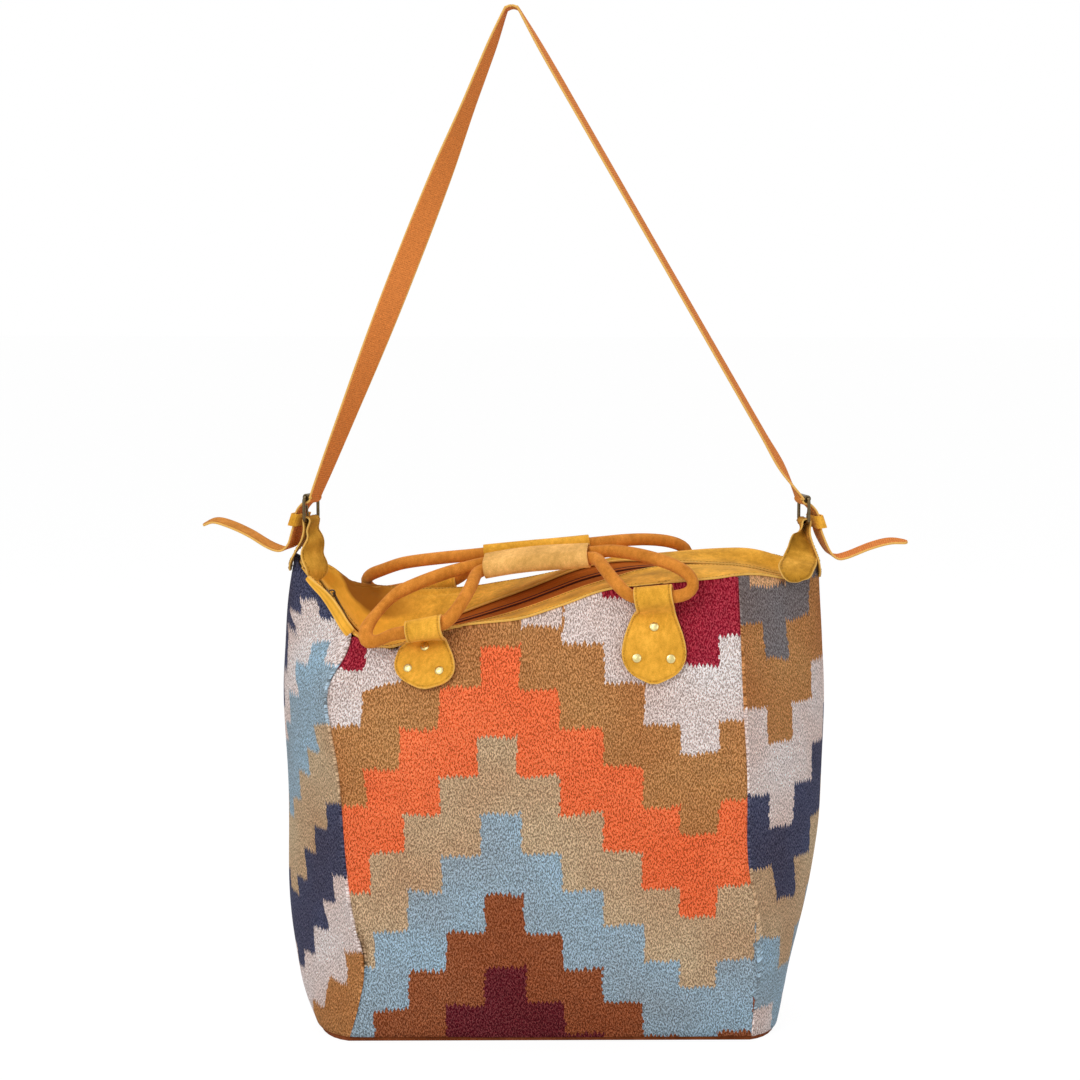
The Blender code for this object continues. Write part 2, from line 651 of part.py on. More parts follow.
def build_handle(name, face, suede, wrap):
    """One ring of rolled suede tube through two tabs, its two runs bound in a grip."""
    carrier = add_axis(name + "_axis", handle_axis(face)[0])
    right = ring_half(face, RIGHT)
    left = ring_half(face, LEFT)
    corners = right[:-1] + list(reversed(left))
    points = smooth_path(corners, 77)[:-1]
    tube_object(name + "_ring", points, TUBE_RADIUS, suede, cyclic=True, parent=carrier, sides=3)
    build_grip(name, face, wrap, carrier)


def build_grip(name, face, wrap, carrier):
    """Suede sleeve laced round the two runs of a ring."""
    inner = TUBE_RADIUS + GAP * 3
    straight = TUBE_RADIUS + GAP
    around = 20
    bm = bmesh.new()
    rings = []
    for i in range(-4, 5):
        centre, reach, out = grip_frame(face, i / 4)
        ring = []
        for k in range(around):
            turn = 2 * math.pi * (k + 0.5) / around
            high = inner * math.cos(turn) + math.copysign(straight, math.cos(turn))
            ring.append(bm.verts.new(centre + reach * high + out * (inner * math.sin(turn))))
        rings.append(ring)
    for low, high in zip(rings, rings[1:]):
        for k in range(around):
            j = (k + 1) % around
            bm.faces.new((low[k], low[j], high[j], high[k]))
    sleeve = add_object(name + "_grip", mesh_from(bm, name + "_grip"), wrap, carrier)
    solid = sleeve.modifiers.new("Wall", "SOLIDIFY")
    solid.thickness = SUEDE
    solid.offset = 1.0


def tab_drop(side):
    """Height a tab takes up on the wall: less at the left, where it lies on the sagging shoulder."""
    return LEFT_TAB_DROP if side == LEFT else RIGHT_TAB_DROP


def tab_width(share):
    """Width of a tab at a share of its height: a neck that flares to a round lobe."""
    if share < 0.65:
        return smooth([(0.0, TAB_NECK_WIDTH), (0.06, TAB_NECK_WIDTH * 0.92), (0.15, TAB_NECK_WIDTH),
                       (0.30, TAB_NECK_WIDTH * 1.26), (0.48, TAB_LOBE_WIDTH * 0.92), (0.65, TAB_LOBE_WIDTH)], share)
    return TAB_LOBE_WIDTH * math.sqrt(max(1 - ((share - 0.65) / 0.35) ** 2, 0.015))


def build_tab(name, face, side, suede, brass):
    """Tab folded over the handle's tube, with a round lobe riveted to the wall."""
    middle, along, half = handle_axis(face)
    centre = middle + along * (side * half)
    outward = Vector((0, face, 0))
    outward = (outward - along * along.dot(outward)).normalized()
    upward = outward.cross(along)
    if upward.z < 0:
        upward.negate()
    seat = TAB_LEATHER / 2 + GAP * 3
    drop = tab_drop(side)
    landing = 0.27 if side == LEFT else 0.25
    last_turn = math.radians(-50)

    def fold(u, turn):
        open_end = 0.5 - side * (u - 0.5)
        slack = LOOP_SLACK * (0.38 + 0.62 * open_end) * (0.5 + 0.5 * math.cos(turn - math.radians(50)))
        radius = TUBE_RADIUS + GAP * 4 + TAB_LEATHER / 2 + slack
        row = along * ((u - 0.5) * TAB_NECK_WIDTH)
        return centre + row + outward * (radius * math.cos(turn)) + upward * (radius * math.sin(turn))

    def lobe(u, share):
        return skin_point(face, centre.x + (u - 0.5) * tab_width(share), centre.z - drop * share, seat)[0]

    def point(u, v):
        if v < 0.45:
            return fold(u, math.radians(205) + (last_turn - math.radians(205)) * v / 0.45)
        if v > 0.62:
            return lobe(u, landing + (1 - landing) * (v - 0.62) / 0.38)
        t = (v - 0.45) / 0.17
        start, end = fold(u, last_turn), lobe(u, landing)
        far = (end - start).length
        leave = (outward * math.sin(last_turn) - upward * math.cos(last_turn)) * far
        arrive = (lobe(u, landing + 0.05) - end).normalized() * far
        return (start * (2 * t ** 3 - 3 * t * t + 1) + leave * (t ** 3 - 2 * t * t + t)
                + end * (3 * t * t - 2 * t ** 3) + arrive * (t ** 3 - t * t))

    sheet_object(name, point, 6, 22, TAB_LEATHER, suede, Vector((0, face, 0)), middle=True)
    for i, (aside, share) in enumerate(((0.0, 0.365), (-RIVET_SPREAD, 0.715), (RIVET_SPREAD, 0.715))):
        proud = seat + TAB_LEATHER / 2 + GAP
        place, way = skin_point(face, centre.x + aside, centre.z - drop * share, proud)
        dome = [(0.0, RIVET_RISE), (RIVET_RADIUS * 0.6, RIVET_RISE * 0.85), (RIVET_RADIUS * 0.92, RIVET_RISE * 0.45),
                (RIVET_RADIUS, 0.0), (0.0, 0.0)]
        turned_object(f"{name}_rivet_{i + 1}", dome, place, way, 16, brass)


def hardware_frame(side):
    """Ear bar's centre, and the ways along the bar (near end), outward and up."""
    bar = Vector((side * EAR_SIDE, 0.0, BAR_HEIGHT + (RIGHT_EAR_RISE if side == RIGHT else 0.0)))
    near = Vector((side * math.sin(BUCKLE_TURN), -math.cos(BUCKLE_TURN), 0.0))
    outward = Vector((side * math.cos(BUCKLE_TURN), math.sin(BUCKLE_TURN), 0.0))
    return bar, near, outward, Vector((0.0, 0.0, 1.0))


def local_point(side, out, high, near=0.0):
    """A point given by its distance outward, above and along from the ear bar's centre."""
    bar, along, outward, up = hardware_frame(side)
    return bar + outward * out + up * high + along * near


def build_ear(name, side, suede):
    """Two-ply suede ear folded over the buckle's bar: its plies straddle the peak of the gusset."""
    loop = WIRE_RADIUS + GAP * 1.5 + EAR_PLY / 2
    bar, near, _, _ = hardware_frame(side)
    if side == LEFT:
        inner = [(-0.0095, -0.0125, -0.0520), (-0.0085, -0.0110, -0.0460), (-0.0055, -0.0070, -0.0380),
                 (-0.0024, -0.0030, -0.0280), (-0.0030, 0.0, -0.0160), (-0.0020, 0.0, -0.0090)]
        facing = Vector((side * 0.545, -0.84, 0.0))
        outer = [(0.0030, 0.0, -0.0095), (0.0075, 0.0, -0.0180), (0.0170, 0.0, -0.0265), (0.0240, 0.0, -0.0345),
                 (0.0270, 0.0, -0.0430), (0.0275, 0.0, -0.0510)]
    else:
        inner = [(-0.0140, -0.0502, -0.0515), (-0.0135, -0.0453, -0.0440), (-0.0120, -0.0318, -0.0383),
                 (-0.0092, -0.0190, -0.0348), (-0.0052, -0.0090, -0.0265), (-0.0030, -0.0020, -0.0160),
                 (-0.0020, 0.0, -0.0090)]
        facing = Vector((0.92, 0.38, 0.0)) * -1
        outer = [(0.0030, 0.0, -0.0095), (0.0070, 0.0, -0.0180), (0.0150, 0.0, -0.0265), (0.0205, 0.0, -0.0345),
                 (0.0225, 0.0, -0.0430), (0.0230, 0.0, -0.0510)]
    arch = [local_point(side, -loop * math.cos(math.pi * i / 8), loop * math.sin(math.pi * i / 8)) for i in range(9)]
    corners = [bar + Vector((side * a, b, c)) for a, b, c in inner] + arch
    corners += [bar + Vector((side * a, b, c)) for a, b, c in outer]
    centres = smooth_path(corners, 46)
    across, widths = [], []
    total = len(centres)
    tip = EAR_LOBE_WIDTH / 2
    for i, centre in enumerate(centres):
        down = max(bar.z - centre.z, 0.0)
        low = min(max((down - 0.008) / 0.028, 0.0), 1.0)
        twist = low * low * (3 - 2 * low) if i < total / 2 else 0.0
        across.append(near.lerp(facing, twist).normalized())
        end = sum((b - a).length for a, b in zip(centres[:i], centres[1:i + 1])) if i < total / 2 else sum(
            (b - a).length for a, b in zip(centres[i:], centres[i + 1:]))
        rounded = 2 * math.sqrt(max(tip ** 2 - (tip - min(end, tip)) ** 2, 0.005 ** 2))
        full = smooth([(0.0, EAR_FOLD_WIDTH), (0.011, EAR_FOLD_WIDTH * 0.85), (0.022, EAR_FOLD_WIDTH),
                       (0.036, EAR_LOBE_WIDTH * 0.97), (0.046, EAR_LOBE_WIDTH)], down)
        widths.append(min(rounded, full))
    ear = loft(name, strip_sections(centres, across, widths, EAR_PLY), suede)
    slot = PRONG_RADIUS + 0.0008
    cut_out(ear, name + "_slot", [local_point(side, 0.0, 0.0, -slot), local_point(side, 0.0, 0.0, slot)], 0.0052)


def cut_out(target, name, ends, radius):
    """Cut a round hole along a line between two points."""
    start, end = ends
    bm = bmesh.new()
    turn = (end - start).to_track_quat("Z", "Y").to_matrix().to_4x4()
    place = Matrix.Translation((start + end) / 2) @ turn
    bmesh.ops.create_cone(bm, cap_ends=True, segments=12, radius1=radius, radius2=radius, depth=(end - start).length, matrix=place)
    mesh = bpy.data.meshes.new(name)
    bm.to_mesh(mesh)
    bm.free()
    cutter = bpy.data.objects.new(name, mesh)
    collection_for("cutters").objects.link(cutter)
    cutter.hide_render = True
    cutter.display_type = "WIRE"
    cut = target.modifiers.new("Hole", "BOOLEAN")
    cut.operation = "DIFFERENCE"
    cut.solver = "EXACT"
    cut.object = cutter


def prong_path(side):
    """Corners of a prong, from round the bar to its tip on the roller."""
    wrap = WIRE_RADIUS + GAP * 1.5 + PRONG_RADIUS
    tip = ROLLER_RADIUS + GAP * 1.5 + PRONG_RADIUS
    corners = [local_point(side, wrap * math.cos(math.radians(a)), wrap * math.sin(math.radians(a)))
               for a in (-140, -170, -200, -230, -260, -290, -320, -350)]
    corners.append(local_point(side, wrap + 0.0003, 0.004))
    corners.append(local_point(side, (wrap + tip) / 2 + 0.0004, BUCKLE_LENGTH / 2))
    corners.append(local_point(side, tip + 0.0003, BUCKLE_LENGTH - 0.004))
    corners.append(local_point(side, tip + 0.0001, BUCKLE_LENGTH + 0.0012))
    return corners


def build_buckle(name, side, brass):
    """Wire frame with its bar in the ear's fold, a roller on the far bar and a prong on the near one."""
    half = BUCKLE_WIDTH / 2
    corner = 0.0035
    bar, near, outward, up = hardware_frame(side)
    carrier = add_axis(name + "_axis", bar)
    outline = []
    for a, b, start in ((half - corner, corner, -90), (half - corner, BUCKLE_LENGTH - corner, 0),
                        (-half + corner, BUCKLE_LENGTH - corner, 90), (-half + corner, corner, 180)):
        for i in range(5):
            turn = math.radians(start + 90 * i / 4)
            outline.append((a + corner * math.cos(turn), b + corner * math.sin(turn)))
    points = [local_point(side, 0.0, b, a) for a, b in outline]
    tube_object(name + "_frame", points, WIRE_RADIUS, brass, cyclic=True, parent=carrier)
    roller = local_point(side, 0.0, BUCKLE_LENGTH)
    bore = WIRE_RADIUS + GAP
    length = half - corner - 0.0002
    profile = [(ROLLER_RADIUS, length), (ROLLER_RADIUS, -length), (bore, -length), (bore, length)]
    roller_axis = add_axis(name + "_roller_axis", roller)
    turned_object(name + "_roller", profile, roller, near, 14, brass, roller_axis)
    prong_axis = add_axis(name + "_prong_axis", bar)
    tube_object(name + "_prong", smooth_path(prong_path(side), 17), PRONG_RADIUS, brass, parent=prong_axis)


def strap_end(side):
    """Corners of the strap from its tail's tip to the roller, as (point, width direction)."""
    bar, near, _, _ = hardware_frame(side)
    thick = STRAP_THICKNESS / 2
    roller = BUCKLE_LENGTH
    under = ROLLER_RADIUS + GAP * 2.5 + thick
    if side == LEFT:
        tail = [(0.1036, -0.0055), (0.0920, -0.0010), (0.0776, -0.0043), (0.0586, -0.0127), (0.0396, -0.0239),
                (0.0270, -0.0275), (0.0185, -0.0225)]
    else:
        tail = [(0.0955, -0.0175), (0.0791, -0.0167), (0.0610, -0.0215), (0.0402, -0.0301), (0.0301, -0.0316),
                (0.0222, -0.0256)]
    flat = Vector((0.0, -0.94, -0.34))
    corners = []
    for a, b in tail:
        turn = min(max((a - 0.015) / 0.03, 0.0), 1.0)
        corners.append((bar + Vector((side * a, 0.0, b)), near.lerp(flat, turn).normalized()))
    held = [(KEEPER_OUT + 0.0018, -0.0090), (KEEPER_OUT, 0.0010), (0.0095, 0.0095), (0.0060, 0.0142)]
    held += [(under * math.cos(math.radians(a)), roller + under * math.sin(math.radians(a)))
             for a in (-70, -90, -110, -130, -150, -170, -190)]
    return corners + [(local_point(side, a, b), near) for a, b in held]


def strap_leg(side, start):
    """Corners from the roller up to the crown. The strap turns its face to the front on the way up."""
    arc = [(math.radians(90 - 55 * i / 3)) for i in range(4)]
    crown = [CROWN + Vector((side * CROWN_RADIUS * math.cos(a), 0.0, CROWN_RADIUS * (math.sin(a) - 1))) for a in reversed(arc)]
    corners = []
    steps = 9
    run = crown[0] - start
    in_plane = Vector((-run.z, 0.0, run.x)).normalized() * (-side)
    away = Vector((0.0, -1.0, 0.0))
    turns = ([(0.0, 70), (0.16, 48), (0.35, 14), (0.55, 0), (0.75, 38), (0.88, 66), (1.0, 80)] if side == LEFT
             else [(0.0, 70), (0.12, 78), (0.5, 82), (0.9, 80), (1.0, 84)])
    for i in range(1, steps):
        share = i / steps
        turn = math.radians(smooth(turns, share))
        corners.append((start + run * share, in_plane * math.cos(turn) * (-1) + away * math.sin(turn)))
    for place in crown:
        corners.append((place, away))
    return corners


def build_strap(material):
    """Shoulder strap: one length from the left tail, through both buckles, to the right tail."""
    halves = []
    for side in (LEFT, RIGHT):
        end = strap_end(side)
        halves.append(end + strap_leg(side, end[-1][0]))
    whole = halves[0] + list(reversed(halves[1][:-1]))
    places = [p for p, _ in whole]
    lengths = [0.0]
    for before, after in zip(places, places[1:]):
        lengths.append(lengths[-1] + (after - before).length)
    place_knots = list(zip(lengths, places))
    width_knots = list(zip(lengths, [w for _, w in whole]))
    total = lengths[-1]
    curls = 0.165
    stations = [curls * i / 44 for i in range(44)] + [curls + (total - 2 * curls) * i / 60 for i in range(61)]
    stations += [total - curls * i / 44 for i in reversed(range(44))]
    centres, across, widths = [], [], []
    for at in stations:
        centres.append(smooth(place_knots, at))
        across.append(smooth(width_knots, at).normalized())
        end = min(at, total - at)
        taper = 0.30 + 0.70 * math.sqrt(max(1 - (1 - min(end / TAIL_TAPER, 1.0)) ** 2, 0.0))
        widths.append(STRAP_WIDTH * taper)
    strap = loft("shoulder_strap", strip_sections(centres, across, widths, STRAP_THICKNESS), material)
    for hand, side in (("left", LEFT), ("right", RIGHT)):
        path = prong_path(side)
        cut_out(strap, f"{hand}_strap_hole", [path[-4], path[-2]], PRONG_RADIUS + 0.0007)


def build_keeper(name, side, suede):
    """Small suede keeper that holds the strap's tail beside the buckle."""
    half_width = STRAP_WIDTH / 2 + GAP
    half_depth = STRAP_THICKNESS / 2 + GAP
    around = 16
    bm = bmesh.new()
    rings = []
    lean = Vector((-math.sin(0.35), 0.0, math.cos(0.35)))
    _, near, outward, up = hardware_frame(side)
    for level in (-0.5, 0.0, 0.5):
        ring = []
        for k in range(around):
            turn = 2 * math.pi * k / around
            flat = abs(math.cos(turn)) ** 0.35 * math.copysign(1, math.cos(turn)) * (half_width + 0.0006)
            deep = abs(math.sin(turn)) ** 0.5 * math.copysign(1, math.sin(turn)) * (half_depth + 0.0019)
            place = local_point(side, KEEPER_OUT, 0.0010) + near * flat + outward * deep
            place += (outward * lean.x + up * lean.z) * (level * KEEPER_HEIGHT)
            ring.append(bm.verts.new(place))
        rings.append(ring)
    for low, high in zip(rings, rings[1:]):
        for k in range(around):
            j = (k + 1) % around
            bm.faces.new((low[k], low[j], high[j], high[k]))
    keeper = add_object(name, mesh_from(bm, name), suede)
    solid = keeper.modifiers.new("Wall", "SOLIDIFY")
    solid.thickness = KEEPER_PLY
    solid.offset = 1.0


def main():
    """Build the bag, piece by piece."""
    clear_scene()
    cloth = make_material("woven_cloth", (0.42, 0.25, 0.13), 0.95)
    suede = make_material("ochre_suede", (0.68, 0.34, 0.03), 0.85)
    rolled = make_material("rolled_suede", (0.64, 0.24, 0.03), 0.8)
    pale = make_material("pale_suede", (0.66, 0.40, 0.13), 0.85)
    base = make_material("brown_suede", (0.30, 0.10, 0.03), 0.8)
    webbing = make_material("strap_suede", (0.55, 0.15, 0.03), 0.8)
    tape = make_material("zip_tape", (0.48, 0.13, 0.02), 0.9)
    coil = make_material("zip_coil", (0.12, 0.02, 0.01), 0.5)
    nickel = make_material("nickel", (0.45, 0.44, 0.42), 0.3, 1.0)
    brass = make_material("brass", (0.75, 0.62, 0.32), 0.3, 1.0)
    antique = make_material("antique_brass", (0.24, 0.18, 0.10), 0.4, 1.0)
    build_base(base)
    build_main_panel("front_panel", FRONT, cloth)
    build_main_panel("back_panel", REAR, cloth)
    build_gusset("left_gusset", LEFT, cloth)
    build_gusset("right_gusset", RIGHT, cloth)
    build_facing("front_facing", FRONT, suede)
    build_facing("rear_facing", REAR, suede)
    build_zip(tape, coil, nickel)
    build_slider(nickel)
    for word, face in (("front", FRONT), ("rear", REAR)):
        build_handle(f"{word}_handle", face, rolled, pale)
        for hand, side in (("left", LEFT), ("right", RIGHT)):
            build_tab(f"{word}_{hand}_tab", face, side, suede, brass)
    for hand, side in (("left", LEFT), ("right", RIGHT)):
        build_ear(f"{hand}_ear", side, suede)
        build_buckle(f"{hand}_buckle", side, antique)
        build_keeper(f"{hand}_keeper", side, suede)
    build_strap(webbing)


main()
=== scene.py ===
"""Flat-woven tote bag with suede trim, ring handles and a buckled shoulder strap.

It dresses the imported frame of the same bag. All lengths are in metres.
"""
import json
import math

import bmesh
import bpy
from mathutils import Matrix, Vector, noise
from mathutils.bvhtree import BVHTree
from mathutils.kdtree import KDTree

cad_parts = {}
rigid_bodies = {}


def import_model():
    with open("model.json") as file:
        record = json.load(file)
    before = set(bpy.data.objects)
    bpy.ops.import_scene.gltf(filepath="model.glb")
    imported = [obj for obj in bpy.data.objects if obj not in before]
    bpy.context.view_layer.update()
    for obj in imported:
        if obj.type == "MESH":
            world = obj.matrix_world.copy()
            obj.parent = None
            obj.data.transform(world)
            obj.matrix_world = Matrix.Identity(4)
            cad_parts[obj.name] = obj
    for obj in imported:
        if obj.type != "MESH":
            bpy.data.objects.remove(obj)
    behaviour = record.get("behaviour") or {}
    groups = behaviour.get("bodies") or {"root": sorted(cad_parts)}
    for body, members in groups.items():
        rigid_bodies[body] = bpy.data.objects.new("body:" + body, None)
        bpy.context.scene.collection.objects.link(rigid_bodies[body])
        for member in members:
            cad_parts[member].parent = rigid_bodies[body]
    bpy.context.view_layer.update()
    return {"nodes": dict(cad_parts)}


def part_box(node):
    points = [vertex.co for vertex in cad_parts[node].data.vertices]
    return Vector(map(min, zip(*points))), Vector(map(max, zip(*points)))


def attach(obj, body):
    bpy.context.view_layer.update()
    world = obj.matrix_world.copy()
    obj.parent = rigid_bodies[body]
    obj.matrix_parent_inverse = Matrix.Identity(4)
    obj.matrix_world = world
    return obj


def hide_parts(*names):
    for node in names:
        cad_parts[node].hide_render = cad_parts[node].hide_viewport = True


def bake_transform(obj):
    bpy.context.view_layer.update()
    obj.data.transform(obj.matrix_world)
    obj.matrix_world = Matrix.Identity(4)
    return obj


bl_info = {
    "name": "Woven Tote Bag",
    "version": (1, 0, 0),
    "blender": (4, 5, 0),
    "location": "View3D > Sidebar > Tote Bag",
    "description": "Cloth, suede, zip, handles, strap and buckles of a flat-woven tote bag",
    "category": "Object",
}

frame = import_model()
NODES = frame["nodes"]
FACES = {"front": -1, "rear": 1}
HANDS = {"left": -1, "right": 1}

# Faces that meet at more than this angle, in radians, have an edge between them
EDGE_ANGLE = 0.9
# Teeth in a column along a level edge of the pattern, and weft yarns in a metre of height
TEETH, WEFTS = 9.0, 290.0
# Columns from the pattern's middle to where its steps turn back, on panels and on gussets
PANEL_VALLEY, GUSSET_VALLEY = 5.0, 4.0
# Half the width and height of a stitch, half its length as a share of the pitch, and how far
# the surface that it lies on may be from its line
STITCH_WIDE, STITCH_HIGH, STITCH_LONG, STITCH_REACH = 0.00042, 0.00036, 0.34, 0.0016
STRAP_WIDTH, STRAP_THICKNESS, EAR_THICKNESS, BINDING_THICKNESS = 0.023, 0.0024, 0.0021, 0.0018
# The bars in the ears: distance from the middle, heights, and turn about the upright in degrees
BAR_OUT, BAR_HEIGHTS, BAR_TURN = 0.23, {-1: 0.468, 1: 0.4705}, 17.5
# The camera: turn to the right and tilt down in degrees, then how far in front of the bag, how
# far to its left and how high it stands
VIEW_TURN, VIEW_TILT, VIEW_AWAY, VIEW_LEFT, VIEW_UP = 5.0, 6.6, 2.0, 0.0139, 0.683


def tint(red, green, blue):
    """A colour as it looks on a screen, from 0 to 255, in the linear values a shader takes."""
    return tuple((c / 255 / 12.92) if c < 11 else ((c / 255 + 0.055) / 1.055) ** 2.4
                 for c in (red, green, blue))


def times(colour, share):
    """A colour with its channels times one share, or times a share for each."""
    shares = share if isinstance(share, tuple) else (share, share, share)
    return tuple(c * k for c, k in zip(colour, shares))


def clamp(value):
    """A value held between 0 and 1."""
    return min(max(value, 0.0), 1.0)


def ease(share):
    """A share from 0 to 1 that starts and ends gently."""
    return share * share * (3 - 2 * share)


def colour_prop(name, text, red, green, blue):
    """A colour setting with its default."""
    return bpy.props.FloatVectorProperty(name=name, description=text, subtype="COLOR", size=3,
                                         min=0, max=1, default=tint(red, green, blue))


def length_prop(name, text, value):
    """A length setting in metres with its default."""
    return bpy.props.FloatProperty(name=name, description=text, unit="LENGTH", default=value,
                                   min=0, precision=4)


class ClothSettings(bpy.types.PropertyGroup):
    """The woven cloth: yarn colours, from the lowest band up, and sizes of the weave."""
    wine: colour_prop("Wine", "Lowest band of the front", 98, 2, 26)
    sienna: colour_prop("Sienna", "Second band of the front", 146, 74, 36)
    sky: colour_prop("Sky", "Light blue band", 148, 168, 180)
    camel: colour_prop("Camel", "Beige band", 192, 160, 124)
    orange: colour_prop("Orange", "Orange band", 240, 108, 58)
    tan: colour_prop("Tan", "Tan brown band", 182, 122, 68)
    oyster: colour_prop("Oyster", "Pinkish off-white band", 222, 202, 194)
    crimson: colour_prop("Crimson", "Crimson band", 158, 16, 46)
    slate: colour_prop("Slate", "Dark grey band", 116, 106, 106)
    navy: colour_prop("Navy", "Navy band", 62, 66, 94)
    fringe: colour_prop("Fringe", "Bit of pale tan under the rim", 232, 176, 122)
    row: length_prop("Row", "Height of one step of the pattern", 0.0353)
    fleck: length_prop("Fleck", "Width of a yarn fleck", 0.00115)
    relief: length_prop("Relief", "Depth of the weave", 0.0007)


class SuedeSettings(bpy.types.PropertyGroup):
    """Suede of the facings, tabs, ears, handles, grips, strap and base."""
    ochre: colour_prop("Ochre", "Facings, tabs, ears and keepers", 232, 168, 56)
    rolled: colour_prop("Rolled", "Tube of the ring handles", 212, 134, 50)
    pale: colour_prop("Pale", "Sleeves of the grips", 234, 178, 100)
    strap: colour_prop("Strap", "Outer face of the shoulder strap", 206, 132, 48)
    ribbed: colour_prop("Ribbed", "Ribbed inner face of the shoulder strap", 222, 132, 64)
    base: colour_prop("Base", "Base of the bag", 128, 66, 32)
    edge: colour_prop("Edge", "Cut edge of the suede", 236, 190, 104)
    stitch: length_prop("Stitch", "Distance from one stitch to the next", 0.0032)


class MetalSettings(bpy.types.PropertyGroup):
    """Metal of the rivets, buckles and zip, and the zip's tape and coil."""
    rivet: colour_prop("Rivet", "Rivet heads", 232, 214, 150)
    buckle: colour_prop("Buckle", "Roller buckles", 116, 100, 72)
    slider: colour_prop("Slider", "Zip slider, pull and stops", 84, 80, 74)
    tape: colour_prop("Tape", "Zip tape", 196, 102, 30)
    coil: colour_prop("Coil", "Zip coil", 84, 30, 14)


class Wire:
    """An output of a shader node. A sum on wires adds Math nodes."""

    def __init__(self, nodes, socket):
        self.nodes, self.socket = nodes, socket

    def calc(self, operation, *others):
        """One Math node on this wire and others."""
        return self.nodes.add("ShaderNodeMath", {"operation": operation},
                              dict(enumerate((self, *others))))

    def ranged(self, start, end, low, high):
        """The stretch from start to end laid over low to high, and held past both ends."""
        return self.nodes.add("ShaderNodeMapRange", None, {
            "Value": self, "From Min": start, "From Max": end, "To Min": low, "To Max": high})

    def spread(self, low, high):
        """Noise stretched about its middle, between two limits."""
        return self.ranged(0.3, 0.7, low, high)

    def ribs(self, density):
        """Ribs from 0 to 1 along a length, with a density in radians a metre."""
        return ((self * density).calc("SINE") + 1.0) * 0.5

    def __add__(self, other):
        return self.calc("ADD", other)

    def __sub__(self, other):
        return self.calc("SUBTRACT", other)

    def __rsub__(self, other):
        return self * -1.0 + other

    def __mul__(self, other):
        return self.calc("MULTIPLY", other)

    def __truediv__(self, other):
        return self.calc("DIVIDE", other)

    def __abs__(self):
        return self.calc("ABSOLUTE")

    def __gt__(self, other):
        return self.calc("GREATER_THAN", other)

    def __lt__(self, other):
        return self.calc("LESS_THAN", other)

    __radd__ = __add__
    __rmul__ = __mul__


class Nodes:
    """A node tree, with one way to add nodes to it."""

    def __init__(self, tree):
        self.tree = tree

    def add(self, kind, settings=None, inputs=None, out=0):
        """Add one node: its settings first, then values or wires for its sockets."""
        node = self.tree.nodes.new(kind)
        for key, value in (settings or {}).items():
            if key == "stops":
                ramp = node.color_ramp
                while len(ramp.elements) < len(value):
                    ramp.elements.new(1.0)
                for stop, (place, colour) in zip(ramp.elements, value):
                    stop.position = place
                    stop.color = (*colour, 1.0)
            elif key == "interpolation":
                node.color_ramp.interpolation = value
            else:
                setattr(node, key, value)
        for key, value in (inputs or {}).items():
            self.feed(node.inputs[key], value)
        return Wire(self, node.outputs[out])

    def feed(self, socket, value):
        """Link a wire to a socket, or set the socket's value."""
        if isinstance(value, Wire):
            self.tree.links.new(value.socket, socket)
        elif socket.type == "RGBA" and len(value) == 3:
            socket.default_value = (*value, 1.0)
        else:
            socket.default_value = value

    def seen(self):
        """1 for the rays that show a surface: straight on, in metal or through glass."""
        rays = self.add("ShaderNodeLightPath", out="Is Camera Ray")
        for ray in ("Is Glossy Ray", "Is Transmission Ray"):
            rays = rays.calc("MAXIMUM", self.add("ShaderNodeLightPath", out=ray))
        return rays


class Paint(Nodes):
    """A material and the nodes that are added to it."""

    def __init__(self, name, roughness, metallic=0.0):
        self.material = bpy.data.materials.new(name)
        self.material.use_nodes = True
        super().__init__(self.material.node_tree)
        self.shader = self.tree.nodes["Principled BSDF"]
        self.set(Roughness=roughness, Metallic=metallic)
        if roughness > 0.7:
            self.set(Specular_IOR_Level=0.12)

    def set(self, **inputs):
        """Set or link sockets of the material's shader."""
        for key, value in inputs.items():
            self.feed(self.shader.inputs[key.replace("_", " ")], value)

    def mix(self, first, second, share):
        """Two colours, blended by a share of the second."""
        return self.add("ShaderNodeMix", {"data_type": "RGBA"}, {0: share, 6: first, 7: second}, 2)

    def vector(self, operation, first, second):
        """One Vector Math node on a colour or place and another, or a number that scales it."""
        key = "Scale" if operation == "SCALE" else 1
        return self.add("ShaderNodeVectorMath", {"operation": operation}, {0: first, key: second})

    def place(self):
        """Coordinates in metres on the object."""
        return self.add("ShaderNodeTexCoord", out="Object")

    def split(self, place):
        """The first two numbers of a place."""
        first = self.add("ShaderNodeSeparateXYZ", None, {0: place})
        return first, Wire(self, first.socket.node.outputs[1])

    def uv(self, name):
        """The two numbers that a piece keeps in its own map."""
        return self.split(self.add("ShaderNodeUVMap", {"uv_map": name}))

    def pick(self, wire):
        """A scattered number from 0 to 1 for each whole step of a wire."""
        return self.add("ShaderNodeTexWhiteNoise", {"noise_dimensions": "1D"},
                        {"W": wire.calc("FLOOR")})

    def grain(self, scale, detail=2.0, at=None, stretch=None, rough=0.5):
        """Noise from 0 to 1 with a grain of 1 / scale metres."""
        at = at or self.place()
        if stretch:
            at = self.vector("MULTIPLY", at, stretch)
        return self.add("ShaderNodeTexNoise", None, {"Vector": at, "Scale": scale,
                                                     "Detail": detail, "Roughness": rough})

    def bump(self, height, depth):
        """Relief on the surface, its full depth in metres."""
        self.set(Normal=self.add("ShaderNodeBump", None, {"Strength": 1.0, "Distance": depth,
                                                          "Height": height}))


